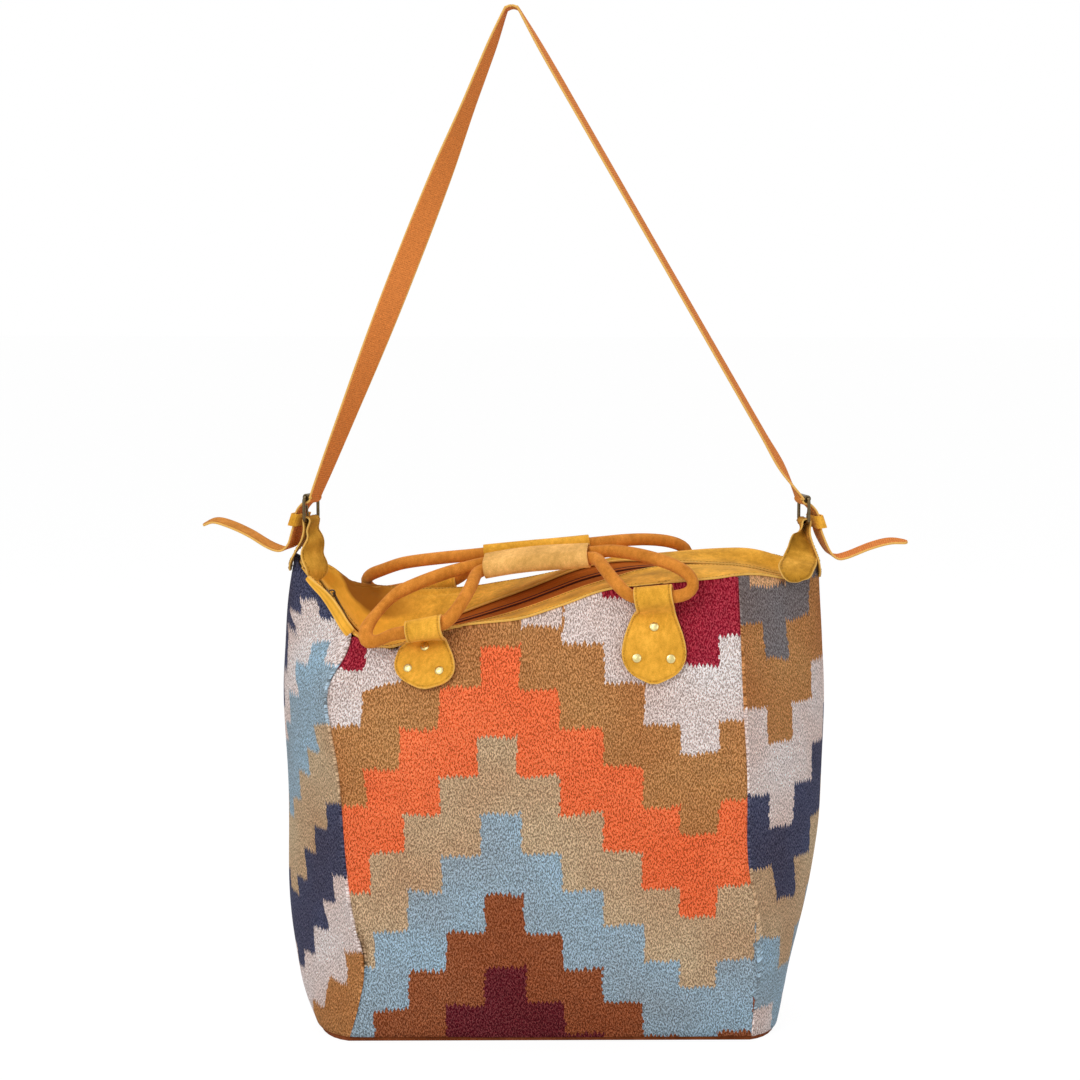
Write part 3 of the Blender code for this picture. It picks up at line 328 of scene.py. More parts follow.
def suede(name, colour, dark=0.72, light=1.16, trim=None, valley=None):
    """Napped suede: soft mottling where the nap is brushed, and a fine grain.

    With a trim it has cut edges in that colour and a pressed line beside them. With a valley,
    two places along X, it gets a painted highlight from one to the other, and painted shade on the
    rear fold, which stand in for how light falls in the dip of the rim.
    """
    paint = Paint(name, 0.9)
    mottle = paint.grain(38.0, 3.0)
    nap = paint.grain(260.0, 2.0, stretch=(1.0, 1.0, 0.55))
    fine = paint.grain(1300.0, 1.0)
    shade = mottle.spread(dark, light) * nap.spread(0.86, 1.10) * fine.spread(0.88, 1.10)
    # Green and blue fall off faster than red where the suede is dark
    fall = paint.add("ShaderNodeCombineXYZ", None,
                     {0: 1.0, 1: 1.14 - shade * 0.14, 2: 1.3 - shade * 0.3})
    base = paint.vector("SCALE", paint.vector("POWER", tuple(colour), fall), shade)
    height = nap * 0.6 + fine * 0.4
    if valley:
        along, across = paint.split(paint.place())
        painted_light_share = along.ranged(*valley, 0.0, 1.0)
        back = (across + (mottle - 0.5) * 0.006).ranged(0.029, 0.033, 0.0, 1.0)
        # Painted highlight: paler towards the left end of the dip. Painted shade: dark brown on
        # the rear fold (back), where the facing turns away from the light
        base = paint.mix(base, times(colour, 1.25), painted_light_share * 0.55)
        base = paint.mix(base, times(colour, (0.34, 0.22, 0.14)), painted_light_share * back * 0.95)
    if trim:
        edge = paint.uv("trim")[0] + (nap - 0.5) * 0.0006
        groove = abs(edge - 0.0026).ranged(0.0002, 0.0012, 0.26, 0.0)
        base = paint.mix(base, times(colour, 0.35), groove)
        base = paint.mix(base, tuple(trim), edge.ranged(0.0004, 0.0014, 0.75, 0.0))
        height = height - groove * 3.0
    paint.set(Base_Color=base, Sheen_Weight=0.06, Sheen_Roughness=0.5)
    paint.bump(height, 0.0004)
    return paint.material


def metal(name, colour, roughness, dark=0.8):
    """Worn plated metal."""
    paint = Paint(name, roughness, 1.0)
    wear = paint.grain(420.0, 3.0)
    base = paint.mix(times(colour, dark * 0.6), colour, wear.spread(0.3, 1.0))
    paint.set(Base_Color=base, Roughness=wear.spread(roughness + 0.12, roughness - 0.05))
    paint.bump(wear, 0.00005)
    return paint.material


def ribbed(name, colour, trim):
    """Grosgrain-like ribs across a strip, with pale edges."""
    paint = Paint(name, 0.85)
    edge, along = paint.uv("trim")
    rib = along.ribs(3300.0)
    fine = paint.grain(700.0, 2.0)
    lit = tuple(min(c * 1.15, 1.0) for c in colour)
    base = paint.mix(times(colour, 0.62), lit, fine.spread(0.1, 0.75) + rib * 0.3)
    rim = edge.ranged(0.0007, 0.0016, 0.8, 0.0)
    paint.set(Base_Color=paint.mix(base, tuple(trim), rim))
    paint.bump(rib + fine * 0.5, 0.0003)
    return paint.material


def kilim(name, bands, valley, mirrored, settings, row=None, crown=None, bits=()):
    """Flat-woven cloth in bands that step by columns. The map holds column and height.

    A band is its lowest height in the middle column and its colour. A row is the height of a
    step, which shrinks to the crown's towards the rim. A bit is a patch of other yarn: its
    first and last column, its lowest height and its colour.
    """
    paint = Paint(name, 0.95)
    column, height = paint.uv("cloth")
    flat = paint.add("ShaderNodeUVMap", {"uv_map": "weave"})
    row = row or settings.row
    if crown:
        row = height.ranged(0.30, 0.38, row, crown)

    # Edges of the bands: toothed where they are level, uneven by the weft where they are upright
    tooth = abs((column * TEETH).calc("FRACT") - 0.5)
    pick = paint.pick(column * TEETH)
    weft = paint.pick(height * WEFTS)
    drift = paint.grain(14.0, 1.0, at=flat)
    level = height + (tooth - 0.25) * 0.0075 + (pick - 0.5) * 0.0032 + (drift - 0.5) * 0.012
    shifted = column + (weft - 0.5) * 0.07 + (drift - 0.5) * 0.25
    steps = abs((shifted + 0.5).calc("FLOOR")).calc("PINGPONG", valley)
    fall = steps * row - (steps > valley - 0.5) * 0.0085
    level = level + fall * (-1.0 if mirrored else 1.0)
    low, top = bands[0][0], bands[-1][0]
    stops = [(max((at - low) / (top - low), 0.0), tuple(colour)) for at, colour in bands]
    yarn = paint.add("ShaderNodeValToRGB", {"stops": stops, "interpolation": "CONSTANT"},
                     {0: (level - low) / (top - low)})
    for first, last, bottom, colour in bits:
        above = height - tooth * 0.008 - (pick - 0.5) * 0.004 > bottom
        yarn = paint.mix(yarn, tuple(colour), (column > first) * (column < last) * above * 0.85)

    # Flecks of the twisted yarn on two slanting grains
    size = 1.0 / settings.fleck
    twill = paint.add("ShaderNodeMapping", None, {
        "Vector": flat, "Rotation": (0, 0, 0.7), "Scale": (1.0, 0.5, 1.0)})
    other = paint.add("ShaderNodeMapping", None, {
        "Vector": flat, "Rotation": (0, 0, -0.9), "Scale": (1.0, 0.5, 1.0),
        "Location": (3.0, 1.0, 0.0)})
    fleck = paint.grain(size * 1.25, 2.0, at=twill, rough=0.6).spread(-0.8, 1.9)
    cross = paint.grain(size * 0.9, 1.0, at=other).spread(-0.9, 1.9)
    yarns = fleck * 0.6 + cross * 0.4
    deep = paint.vector("MULTIPLY", yarn, (0.60, 0.55, 0.52))
    bright = paint.vector("MULTIPLY", yarn, (1.75, 1.85, 1.95))
    pale = paint.mix(bright, (1.0, 0.82, 0.62), 0.07)
    lit = paint.mix(yarn, pale, ((yarns - 0.42) * 1.9).calc("MAXIMUM", 0.0))
    dyed = paint.mix(deep, lit, (yarns * 2.0).calc("MINIMUM", 1.0))

    # Uneven dye: warm and cool patches, and a slight heather
    patch = paint.mix((0.94, 0.83, 0.78), (1.08, 1.18, 1.24),
                      paint.grain(9.0, 2.0, at=flat).spread(0.0, 1.0))
    heather = paint.grain(90.0, 3.0, at=flat).spread(0.92, 1.08)
    dyed = paint.vector("MULTIPLY", dyed, patch)
    paint.set(Base_Color=paint.vector("SCALE", dyed, heather))
    paint.bump(yarns, settings.relief)
    return paint.material


def cad_copy(node):
    """A CAD node's mesh with its doubles merged and its squares found again."""
    bm = bmesh.new()
    bm.from_mesh(NODES[node].data)
    bmesh.ops.remove_doubles(bm, verts=bm.verts, dist=0.00002)
    bmesh.ops.join_triangles(bm, faces=bm.faces, angle_face_threshold=0.75,
                             angle_shape_threshold=1.2)
    return bm


def crease_edges(bm, angle, amount):
    """Keep the edges where faces meet at more than an angle."""
    layer = bm.edges.layers.float.new("crease_edge")
    for edge in bm.edges:
        if len(edge.link_faces) == 2 and edge.calc_face_angle(0.0) > angle:
            edge[layer] = amount


def add_piece(name, bm, materials, body, nodes=(), slot=None, levels=0):
    """Make a finished piece that rides on a body and stands for CAD nodes."""
    mesh = bpy.data.meshes.new(name)
    for material in materials:
        mesh.materials.append(material)
    bm.to_mesh(mesh)
    bm.free()
    mesh.shade_smooth()
    piece = bpy.data.objects.new(name, mesh)
    bpy.context.scene.collection.objects.link(piece)
    if levels:
        soft = piece.modifiers.new("Soft", "SUBSURF")
        soft.levels = soft.render_levels = levels
        bake(piece)
    if nodes:
        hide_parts(*nodes)
    if body:
        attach(piece, body)
    return piece


def bake(piece):
    """Turn a piece's modifiers into its mesh."""
    bpy.context.view_layer.update()
    graph = bpy.context.evaluated_depsgraph_get()
    mesh = bpy.data.meshes.new_from_object(piece.evaluated_get(graph))
    piece.modifiers.clear()
    piece.data = mesh


def soft_copy(name, node, material, body, slot, levels=2, angle=EDGE_ANGLE):
    """A CAD node's form with smooth faces and softened edges."""
    bm = cad_copy(node)
    crease_edges(bm, angle, 0.75)
    return add_piece(name, bm, [material], body, (node,), slot, levels)


def dress(node, material):
    """Give a CAD node that keeps its shape a finished material."""
    thing = NODES[node]
    thing.data.materials.clear()
    thing.data.materials.append(material)
    thing.data.shade_smooth()


def write_map(piece, name, place):
    """Store two numbers for each point of a piece in its own map."""
    mesh = piece.data
    layer = mesh.uv_layers.get(name) or mesh.uv_layers.new(name=name)
    pairs = [place(v.co) for v in mesh.vertices]
    for loop in mesh.loops:
        layer.data[loop.index].uv = pairs[loop.vertex_index]


def along_knots(knots, at):
    """Straight-line value between (place, value) knots, carried on past both ends."""
    k = 0
    while k < len(knots) - 2 and knots[k + 1][0] < at:
        k += 1
    (a, start), (b, end) = knots[k], knots[k + 1]
    return start + (end - start) * (at - a) / (b - a)


def curve(points, count):
    """A smooth line through points, as evenly counted steps of its knots."""
    ends = [points[0] * 2 - points[1], *points, points[-1] * 2 - points[-2]]
    line = []
    for i in range(count):
        at = i / (count - 1) * (len(points) - 1)
        k = min(int(at), len(points) - 2)
        f = at - k
        a, b, c, d = ends[k:k + 4]
        line.append((b * 2 + (c - a) * f + (a * 2 - b * 5 + c * 4 - d) * f * f
                     + (b * 3 - a - c * 3 + d) * f ** 3) * 0.5)
    return line


def strip(name, stations, thickness, materials):
    """A flat strip swept through stations of (centre, direction across, width).

    A second material goes on its inner face. Its map holds how far a point lies from the
    strip's edge and how far along.
    """
    bm = bmesh.new()
    layer = bm.loops.layers.uv.new("trim")
    shares = (-0.5, -0.455, -0.25, 0.0, 0.25, 0.455, 0.5)
    rings, maps, along = [], [], 0.0
    for i, (centre, across, width) in enumerate(stations):
        onward = stations[min(i + 1, len(stations) - 1)][0] - stations[max(i - 1, 0)][0]
        onward.normalize()
        across = (across - onward * across.dot(onward)).normalized()
        inner = onward.cross(across)
        along += (centre - stations[i - 1][0]).length if i else 0.0
        ring, row = [], []
        for face in (-1, 1):
            for share in shares[::-face]:
                high = thickness * (0.26 if abs(share) == 0.5 else 0.5)
                spot = centre + across * (share * width) + inner * (face * high)
                ring.append(bm.verts.new(spot))
                row.append((width * (0.5 - abs(share)), along))
        rings.append(ring)
        maps.append(row)
    count = len(rings[0])
    for i in range(len(rings) - 1):
        for k in range(count):
            j = (k + 1) % count
            face = bm.faces.new((rings[i][k], rings[i][j], rings[i + 1][j], rings[i + 1][k]))
            face.material_index = 1 if k >= count // 2 and len(materials) > 1 else 0
            spots = (maps[i][k], maps[i][j], maps[i + 1][j], maps[i + 1][k])
            for loop, spot in zip(face.loops, spots):
                loop[layer].uv = spot
    bm.faces.new(rings[0])
    bm.faces.new(list(reversed(rings[-1])))
    bmesh.ops.recalc_face_normals(bm, faces=bm.faces)
    return add_piece(name, bm, materials, None, levels=1)


def sharp_lines(bm):
    """Sharp edges in chains, each as (middle, tangent, inward direction, normal, length)."""
    sharp = {e for e in bm.edges
             if len(e.link_faces) == 2 and e.calc_face_angle(0.0) > EDGE_ANGLE}
    lines = []
    for first in sorted(sharp, key=lambda e: e.index):
        if first not in sharp:
            continue
        sharp.discard(first)
        chain, here, edge = [], first.verts[1], first
        while edge:
            way = (here.co - edge.other_vert(here).co).normalized()
            face = max(edge.link_faces, key=lambda f: f.calc_area())
            middle = (edge.verts[0].co + edge.verts[1].co) / 2
            inward = face.normal.cross(way)
            inward *= 1 if inward.dot(face.calc_center_median() - middle) > 0 else -1
            chain.append((middle, way, inward, face.normal.copy(), edge.calc_length()))
            edge = max((e for e in here.link_edges if e in sharp), default=None,
                       key=lambda e: (e.other_vert(here).co - here.co).normalized().dot(way))
            if edge:
                sharp.discard(edge)
                here = edge.other_vert(here)
        lines.append(chain)
    return lines


def outlines(node, fold=math.inf):
    """Sharp lines of a CAD node, without level edges above a fold, where a ply ends inside it."""
    bm = cad_copy(node)
    lines = [[e for e in line if e[0].z < fold or abs(e[1].x) < 0.8] for line in sharp_lines(bm)]
    bm.free()
    return lines


def trim_map(piece, lines):
    """Store how far each point of a piece lies from sharp lines."""
    spots = [middle + way * (length * (k / 8 - 0.5))
             for line in lines for middle, way, _, _, length in line for k in range(9)]
    tree = KDTree(len(spots))
    for i, spot in enumerate(spots):
        tree.insert(spot, i)
    tree.balance()
    write_map(piece, "trim", lambda p: (tree.find(p)[2], 0.0))


def surface(piece):
    """Search tree of a piece's faces."""
    mesh = piece.data
    return BVHTree.FromPolygons([v.co.copy() for v in mesh.vertices],
                                [tuple(p.vertices) for p in mesh.polygons])


def sew(name, lines, piece, inset, pitch, keep, material):
    """Stitches along lines of edges, set in from the edge on a suede piece of the bag."""
    tree = surface(piece)
    stitch = bpy.data.meshes.new("stitch")
    bm = bmesh.new()
    bmesh.ops.create_uvsphere(bm, u_segments=8, v_segments=5, radius=1.0)
    bm.to_mesh(stitch)
    bm.clear()
    size = Matrix.Diagonal((pitch * STITCH_LONG, STITCH_WIDE, STITCH_HIGH, 1.0))
    for line in lines:
        due = 0.0
        for middle, way, inward, normal, length in line:
            due -= length
            while due < 0.0:
                due += pitch
                spot = middle + way * (length * 0.5 - due) + inward * inset
                place, up, _, far = tree.find_nearest(spot)
                if place is None or far > STITCH_REACH:
                    continue
                if not keep(normal) or up.dot(normal) < 0.8:
                    continue
                side = up.cross(way).normalized()
                turn = Matrix((side.cross(up), side, up)).transposed().to_4x4()
                copy = stitch.copy()
                copy.transform(Matrix.Translation(place + up * 0.0001) @ turn @ size)
                bm.from_mesh(copy)
                bpy.data.meshes.remove(copy)
    add_piece(name, bm, [material], "bag", (), "ochre_suede")


def dent(piece, depth, hollows):
    """Press soft hollows into a cloth piece: a broad unevenness and the named ones."""
    mesh = piece.data
    normals = [v.normal.copy() for v in mesh.vertices]
    for v, normal in zip(mesh.vertices, normals):
        out = Vector((v.co.x, v.co.y, 0.0))
        way = normal if normal.dot(out) > 0 else -normal
        push = -depth * (0.5 + 0.5 * noise.noise(v.co * 11.0)) * clamp(v.co.z / 0.03)
        for centre, radius, press in hollows:
            away = v.co - Vector(centre)
            reach = Vector(a / r for a, r in zip(away, radius)).length
            if reach < 1.0:
                push -= press * (1 - reach * reach) ** 2
        v.co += way * push


def meet(moving, others, share, reach, over=0.0002):
    """Close slits between sewn pieces: edges move to their neighbour, and what is near follows."""
    near = 0.010
    trees = {piece.name: surface(piece) for piece in (*moving, *others)}
    moves = []
    for piece in moving:
        for v in piece.data.vertices:
            spots = [trees[other.name].find_nearest(v.co, reach + near)[0]
                     for other in others if other is not piece]
            spots = [spot for spot in spots if spot is not None]
            if not spots:
                continue
            best = min(spots, key=lambda spot: (spot - v.co).length)
            back, _, _, gap = trees[piece.name].find_nearest(best)
            if gap > reach or gap < 0.00005:
                continue
            fade = ease(clamp(1 - ((best - v.co).length - gap) / near))
            moves.append((v, (best - back).normalized() * ((gap * share + over) * fade)))
    for v, move in moves:
        v.co += move


# Column of the front's pattern at places across the panel, low down and high up
LOW_COLUMNS = [(-0.1555, -3.5), (-0.1235, -2.5), (-0.0905, -1.5), (-0.0540, -0.5), (-0.0178, 0.5),
               (0.0165, 1.5), (0.0520, 2.5), (0.0880, 3.5), (0.1205, 4.5), (0.1540, 5.5)]
HIGH_COLUMNS = [(-0.1690, -3.5), (-0.1335, -2.5), (-0.0975, -1.5), (-0.0612, -0.5), (-0.0254, 0.5),
                (0.0120, 1.5), (0.0512, 2.5), (0.0890, 3.5), (0.1220, 4.5), (0.1545, 5.5)]
# Distance of a gusset's middle column from its front seam, at heights
LEFT_MIDDLES = [(0.05, 0.007), (0.32, 0.009), (0.347, 0.023), (0.40, 0.032)]
RIGHT_MIDDLES = [(0.0, 0.0390), (0.4, 0.0390)]
# Hollows of the cloth: centre, reach along each axis, and depth, below 0 for a bulge
HOLLOWS = {
    "front_panel": [((-0.150, -0.10, 0.283), (0.030, 0.05, 0.020), 0.003),
                    ((-0.170, -0.11, 0.085), (0.014, 0.05, 0.030), 0.004),
                    ((0.176, -0.09, 0.105), (0.016, 0.05, 0.026), 0.004),
                    ((-0.155, -0.10, 0.230), (0.040, 0.05, 0.013), 0.0045),
                    ((-0.165, -0.10, 0.262), (0.030, 0.05, 0.012), -0.004),
                    ((0.135, -0.10, 0.276), (0.045, 0.05, 0.014), -0.004),
                    ((0.135, -0.10, 0.244), (0.040, 0.05, 0.012), 0.004)],
    "back_panel": [],
    "left_gusset": [((-0.215, -0.07, 0.30), (0.03, 0.03, 0.05), 0.003),
                    ((-0.200, -0.10, 0.09), (0.02, 0.03, 0.03), 0.003)],
    "right_gusset": [((0.198, -0.085, 0.10), (0.018, 0.03, 0.04), 0.004)],
}


def panel_map(point, flip=1.0):
    """Column and height of the pattern at a point of the front or back panel."""
    x = point.x * flip
    share = clamp((point.z - 0.10) / 0.20)
    column = along_knots(LOW_COLUMNS, x) * (1 - share) + along_knots(HIGH_COLUMNS, x) * share
    # The bands slope a little, and rise at the top left corner, where the crimson one shows
    corner = Vector((x + 0.178, 0.0, point.z - 0.352)).length / 0.036
    return column, point.z - 0.0012 * column + 0.05 * max(1 - corner, 0.0)


def gusset_map(node, middles, width):
    """A map for a gusset, with columns of a width, counted from its middle one."""
    points = [v.co.copy() for v in NODES[node].data.vertices]
    seam = []
    for i in range(22):
        level = 0.006 + 0.42 * i / 21
        near = [p for p in points if abs(p.z - level) < 0.014]
        if near:
            seam.append((level, min(near, key=lambda p: p.y)))

    def place(point):
        level = min(max(point.z, seam[0][0]), seam[-1][0])
        x, y = (along_knots([(at, p[axis]) for at, p in seam], level) for axis in (0, 1))
        away = math.hypot(point.x - x, point.y - y)
        return (away - along_knots(middles, point.z)) / width, point.z

    return place


class OBJECT_OT_tote_cloth(bpy.types.Operator):
    """Front, back and side cloth with the stepped pattern."""
    bl_idname = "tote.cloth"
    bl_label = "Woven Cloth"

    def execute(self, context):
        c = context.scene.tote_cloth
        front = [(0.0, c.wine), (0.0735, c.sienna), (0.141, c.sky), (0.2135, c.camel),
                 (0.287, c.orange), (0.3612, c.tan), (0.435, c.oyster), (0.512, c.crimson),
                 (0.60, c.slate), (0.70, c.slate)]
        right = [(-0.26, c.oyster), (-0.004, c.sky), (0.0641, c.camel), (0.1330, c.navy),
                 (0.2030, c.oyster), (0.2797, c.tan), (0.3536, c.slate), (0.50, c.slate)]
        left = [(0.0, c.tan), (0.082, c.oyster), (0.151, c.navy), (0.2213, c.camel),
                (0.2925, c.sky), (0.361, c.oyster), (0.396, c.navy), (0.70, c.navy)]
        cloth = {
            "front_panel": (panel_map, kilim("front cloth", front, PANEL_VALLEY, False, c,
                                             bits=[(0.5, 1.5, 0.379, c.oyster)])),
            "back_panel": (lambda p: panel_map(p, -1.0),
                           kilim("back cloth", front, PANEL_VALLEY, False, c)),
            "left_gusset": (gusset_map("left_gusset", LEFT_MIDDLES, 0.020),
                            kilim("left side cloth", left, GUSSET_VALLEY, False, c, 0.027, 0.012)),
            "right_gusset": (gusset_map("right_gusset", RIGHT_MIDDLES, 0.030),
                             kilim("right side cloth", right, GUSSET_VALLEY, True, c, 0.034,
                                   bits=[(-0.95, 0.5, 0.4175, c.fringe)])),
        }
        made = []
        for node, (columns, material) in cloth.items():
            bm = cad_copy(node)
            crease_edges(bm, EDGE_ANGLE, 0.85)
            piece = add_piece(node + "_cloth", bm, [material], None, (node,), "woven_cloth", 2)
            write_map(piece, "cloth", columns)
            write_map(piece, "weave", (lambda p: (p.x, p.z)) if "panel" in node else
                      (lambda p: (p.y - math.copysign(p.x, p.y), p.z)))
            made.append(piece)
        meet(made, made, 0.5, 0.007)
        for piece, node in zip(made, cloth):
            dent(piece, 0.0034, HOLLOWS[node])
            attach(piece, "bag")
        return {"FINISHED"}


# Outer rim of the facing down the left side
RIM = [(-0.2300, -0.0225, 0.4158), (-0.2215, -0.0292, 0.4095), (-0.2120, -0.0358, 0.4030),
       (-0.2030, -0.0428, 0.3945), (-0.1950, -0.0490, 0.3848), (-0.1880, -0.0538, 0.3755),
       (-0.1825, -0.0560, 0.3690)]


def rim_stations():
    """Stations of the narrow binding over the left rim, wider towards the dip."""
    edge = curve([Vector(spot) for spot in RIM], 26)
    last = len(edge) - 1
    stations = []
    for i, spot in enumerate(edge):
        along = edge[min(i + 1, last)] - edge[max(i - 1, 0)]
        out = Vector((along.y, -along.x, 0.0)).normalized()
        centre = spot + out * (0.0008 + 0.0012 * i / last) + Vector((0.0, 0.0, 0.0010))
        width = 0.0045 + 0.0060 * math.sin(math.pi * min(i / 20, 1.0) / 2)
        stations.append((centre, Vector((0.0, 0.0, 1.0)) - out * 0.3, width))
    return stations


class OBJECT_OT_tote_facings(bpy.types.Operator):
    """Suede facings round the top, and the base."""
    bl_idname = "tote.facings"
    bl_label = "Suede Facings"

    def execute(self, context):
        s = context.scene.tote_suede
        # This suede's valley paints a highlight and painted shade into the left dip of the rim, on
        # the facings and the binding
        ochre = suede("facing suede", s.ochre, 0.66, 1.12, trim=s.edge, valley=(-0.125, -0.175))
        thread = suede("facing thread", times(s.ochre, 0.45), 0.9, 1.1)
        for face, side in FACES.items():
            node = face + "_facing"
            piece = soft_copy(node + "_suede", node, ochre, "bag", "ochre_suede")
            lines = outlines(node)
            trim_map(piece, lines)
            panel = "front_panel_cloth" if side < 0 else "back_panel_cloth"
            cloth = (panel, "left_gusset_cloth", "right_gusset_cloth")
            meet([piece], [bpy.data.objects[n] for n in cloth], 0.85, 0.009, 0.0)
            sew(node + "_stitches", lines, piece, 0.0026, s.stitch,
                lambda normal: normal.y * side > -0.2, thread)
        binding = strip("rim_binding_suede", rim_stations(), BINDING_THICKNESS, [ochre])
        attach(binding, "bag")
        dress("base_panel", suede("base suede", s.base))
        return {"FINISHED"}


class OBJECT_OT_tote_zip(bpy.types.Operator):
    """Zip tapes, coil, stops, slider and pull."""
    bl_idname = "tote.zip"
    bl_label = "Zip"

    def execute(self, context):
        m = context.scene.tote_metal
        tape = Paint("zip tape", 0.8)
        rib = tape.uv("trim")[0].ribs(3500.0)
        warm = tape.mix(times(m.tape, 0.38), m.tape, rib * 0.8 + 0.2)
        tape.set(Base_Color=tape.mix(warm, times(m.tape, 0.7), tape.grain(300.0).spread(0.0, 0.5)))
        tape.bump(rib, 0.0003)
        coil = Paint("zip coil", 0.75)
        core = coil.uv("trim")[0].ranged(0.0017, 0.0024, 0.0, 0.75)
        dark = coil.mix(m.coil, times(m.coil, 0.5), coil.grain(500.0))
        coil.set(Base_Color=coil.mix(dark, m.tape, core))
        coil.bump(core, 0.0003)
        for name, node, material, slot in (
                ("zip_tape_front_cloth", "zip_tape_front", tape.material, "zip_tape"),
                ("zip_tape_rear_cloth", "zip_tape_rear", tape.material, "zip_tape"),
                ("zip_coil_teeth", "zip_coil", coil.material, "zip_coil")):
            piece = soft_copy(name, node, material, "bag", slot, 1)
            trim_map(piece, outlines(node))
        nickel = metal("dark nickel", m.slider, 0.35)
        for node in ("zip_stop_left", "zip_stop_right", "zip_slider", "zip_bail", "zip_pull"):
            dress(node, nickel)
        return {"FINISHED"}


class OBJECT_OT_tote_handles(bpy.types.Operator):
    """Ring handles of rolled suede and the sleeves on their grips."""
    bl_idname = "tote.handles"
    bl_label = "Handles"

    def execute(self, context):
        s = context.scene.tote_suede
        tube = suede("rolled suede", s.rolled, 0.80, 1.12)
        sleeves = {"front": suede("pale suede", s.pale, 0.80, 1.14),
                   "rear": suede("ochre sleeve", s.ochre, 0.75, 1.1)}
        # How far a ring's left bend reaches further left, down and to the front
        bends = {"front": (0.013, 0.010, 0.006), "rear": (0.021, 0.002, 0.0)}
        for face in FACES:
            ring = soft_copy(face + "_ring_suede", face + "_handle_ring", tube,
                             face + "_handle", "rolled_suede", 1, 2.0)
            pull, drop, front = bends[face]
            for v in ring.data.vertices:
                share = clamp((-0.085 - v.co.x) / 0.075)
                low = clamp((-0.132 - v.co.x) / 0.025)
                v.co += Vector((-pull * share, -front * low, -drop * ease(low)))
            soft_copy(face + "_grip_suede", face + "_handle_grip", sleeves[face],
                      face + "_handle", "pale_suede")
        return {"FINISHED"}


class OBJECT_OT_tote_tabs(bpy.types.Operator):
    """Handle tabs with their rivets."""
    bl_idname = "tote.tabs"
    bl_label = "Tabs and Rivets"

    def execute(self, context):
        s = context.scene.tote_suede
        ochre = suede("tab suede", s.ochre, 0.84, 1.12, trim=s.edge)
        thread = suede("tab thread", times(s.ochre, 0.62), 0.9, 1.1)
        brass = metal("pale brass", context.scene.tote_metal.rivet, 0.28, 0.9)
        for face, side in FACES.items():
            for hand in HANDS:
                name = f"{face}_{hand}_tab"
                piece = soft_copy(name + "_suede", name, ochre, "bag", "ochre_suede")
                low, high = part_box(name)
                lines = outlines(name, low[2] * 0.45 + high[2] * 0.55)
                trim_map(piece, lines)
                sew(name + "_stitches", lines, piece, 0.0024, s.stitch * 0.8,
                    lambda normal: normal.y * side > 0.3, thread)
                for i in (1, 2, 3):
                    dress(f"{name}_rivet_{i}", brass)
        return {"FINISHED"}


# Middle lines of the ears from their bar, by side, as distances outward, back and up: the
# front lobe from its end, the rear lobe to its end, and the direction across the front one's end
EARS = {
    -1: ([(-0.0060, -0.0135, -0.0560), (-0.0056, -0.0120, -0.0500), (-0.0045, -0.0085, -0.0400),
          (-0.0030, -0.0040, -0.0280), (-0.0030, -0.0006, -0.0160), (-0.0020, 0.0, -0.0090)],
         [(0.0030, 0.0, -0.0095), (0.0060, 0.0, -0.0180), (0.0125, 0.0, -0.0265),
          (0.0175, 0.0, -0.0345), (0.0200, 0.0, -0.0420), (0.0205, 0.0, -0.0480)],
         Vector((-0.545, -0.84, 0.0))),
    1: ([(-0.0095, -0.0490, -0.0500), (-0.0090, -0.0450, -0.0430), (-0.0070, -0.0335, -0.0370),
         (-0.0040, -0.0205, -0.0325), (-0.0015, -0.0100, -0.0250), (-0.0010, -0.0030, -0.0160),
         (-0.0020, 0.0, -0.0090)],
        [(0.0030, 0.0, -0.0095), (0.0055, 0.0, -0.0180), (0.0095, 0.0, -0.0265),
         (0.0125, 0.0, -0.0345), (0.0140, 0.0, -0.0430), (0.0145, 0.0, -0.0510)],
        Vector((-0.92, -0.38, 0.0))),
}
REAR_ACROSS = Vector((0.1, -0.995, 0.0))
# Width of an ear at distances below its bar, and the radius of its round ends
EAR_WIDTHS = [(0.0, 0.0195), (0.008, 0.0190), (0.013, 0.0208), (0.018, 0.0238), (0.024, 0.0278),
              (0.030, 0.0308), (0.036, 0.0328), (0.042, 0.0335), (0.06, 0.0335)]
EAR_ROUND = 0.0162
# Radius of the ears' turn over their bar
BAR_ARCH = 0.0036

# The strap's tails from their tips, as distances outward and up from the bar
TAILS = {-1: [(0.1036, -0.0055), (0.0920, -0.0010), (0.0776, -0.0043), (0.0586, -0.0127),
              (0.0396, -0.0239), (0.0270, -0.0275), (0.0185, -0.0225)],
         1: [(0.0955, -0.0175), (0.0791, -0.0167), (0.0610, -0.0215), (0.0402, -0.0301),
             (0.0301, -0.0316), (0.0222, -0.0256)]}
# The same from the keeper to the roller, and how high the roller's middle is and how wide the
# strap turns round it
HELD = [(0.0143, -0.0090), (0.0125, 0.0010), (0.0095, 0.0095), (0.0060, 0.0142)]
ROLLER_UP, ROLLER_TURN = 0.0225, 0.0050
# Turn of the strap about its run, in degrees, at shares of the way from roller to crown
LEG_TURNS = {-1: [(0.0, 72), (0.10, 60), (0.2, 49), (0.33, 29), (0.44, 10), (0.53, 14), (0.69, 40),
                  (0.79, 62), (0.93, 75), (1.0, 88)],
             1: [(0.0, 74), (0.12, 79), (0.5, 80), (0.9, 79), (1.0, 86)]}
# Place along X and top of the strap's crown, and the radius of its fold
CROWN_X, CROWN_TOP, CROWN_FOLD = -0.039, 0.9385, 0.008


def bar_frame(side):
    """Centre of an ear's bar, and the directions along it towards the front and outward."""
    turn = math.radians(BAR_TURN)
    return (Vector((side * BAR_OUT, 0.0, BAR_HEIGHTS[side])),
            Vector((side * math.sin(turn), -math.cos(turn), 0.0)),
            Vector((side * math.cos(turn), math.sin(turn), 0.0)))


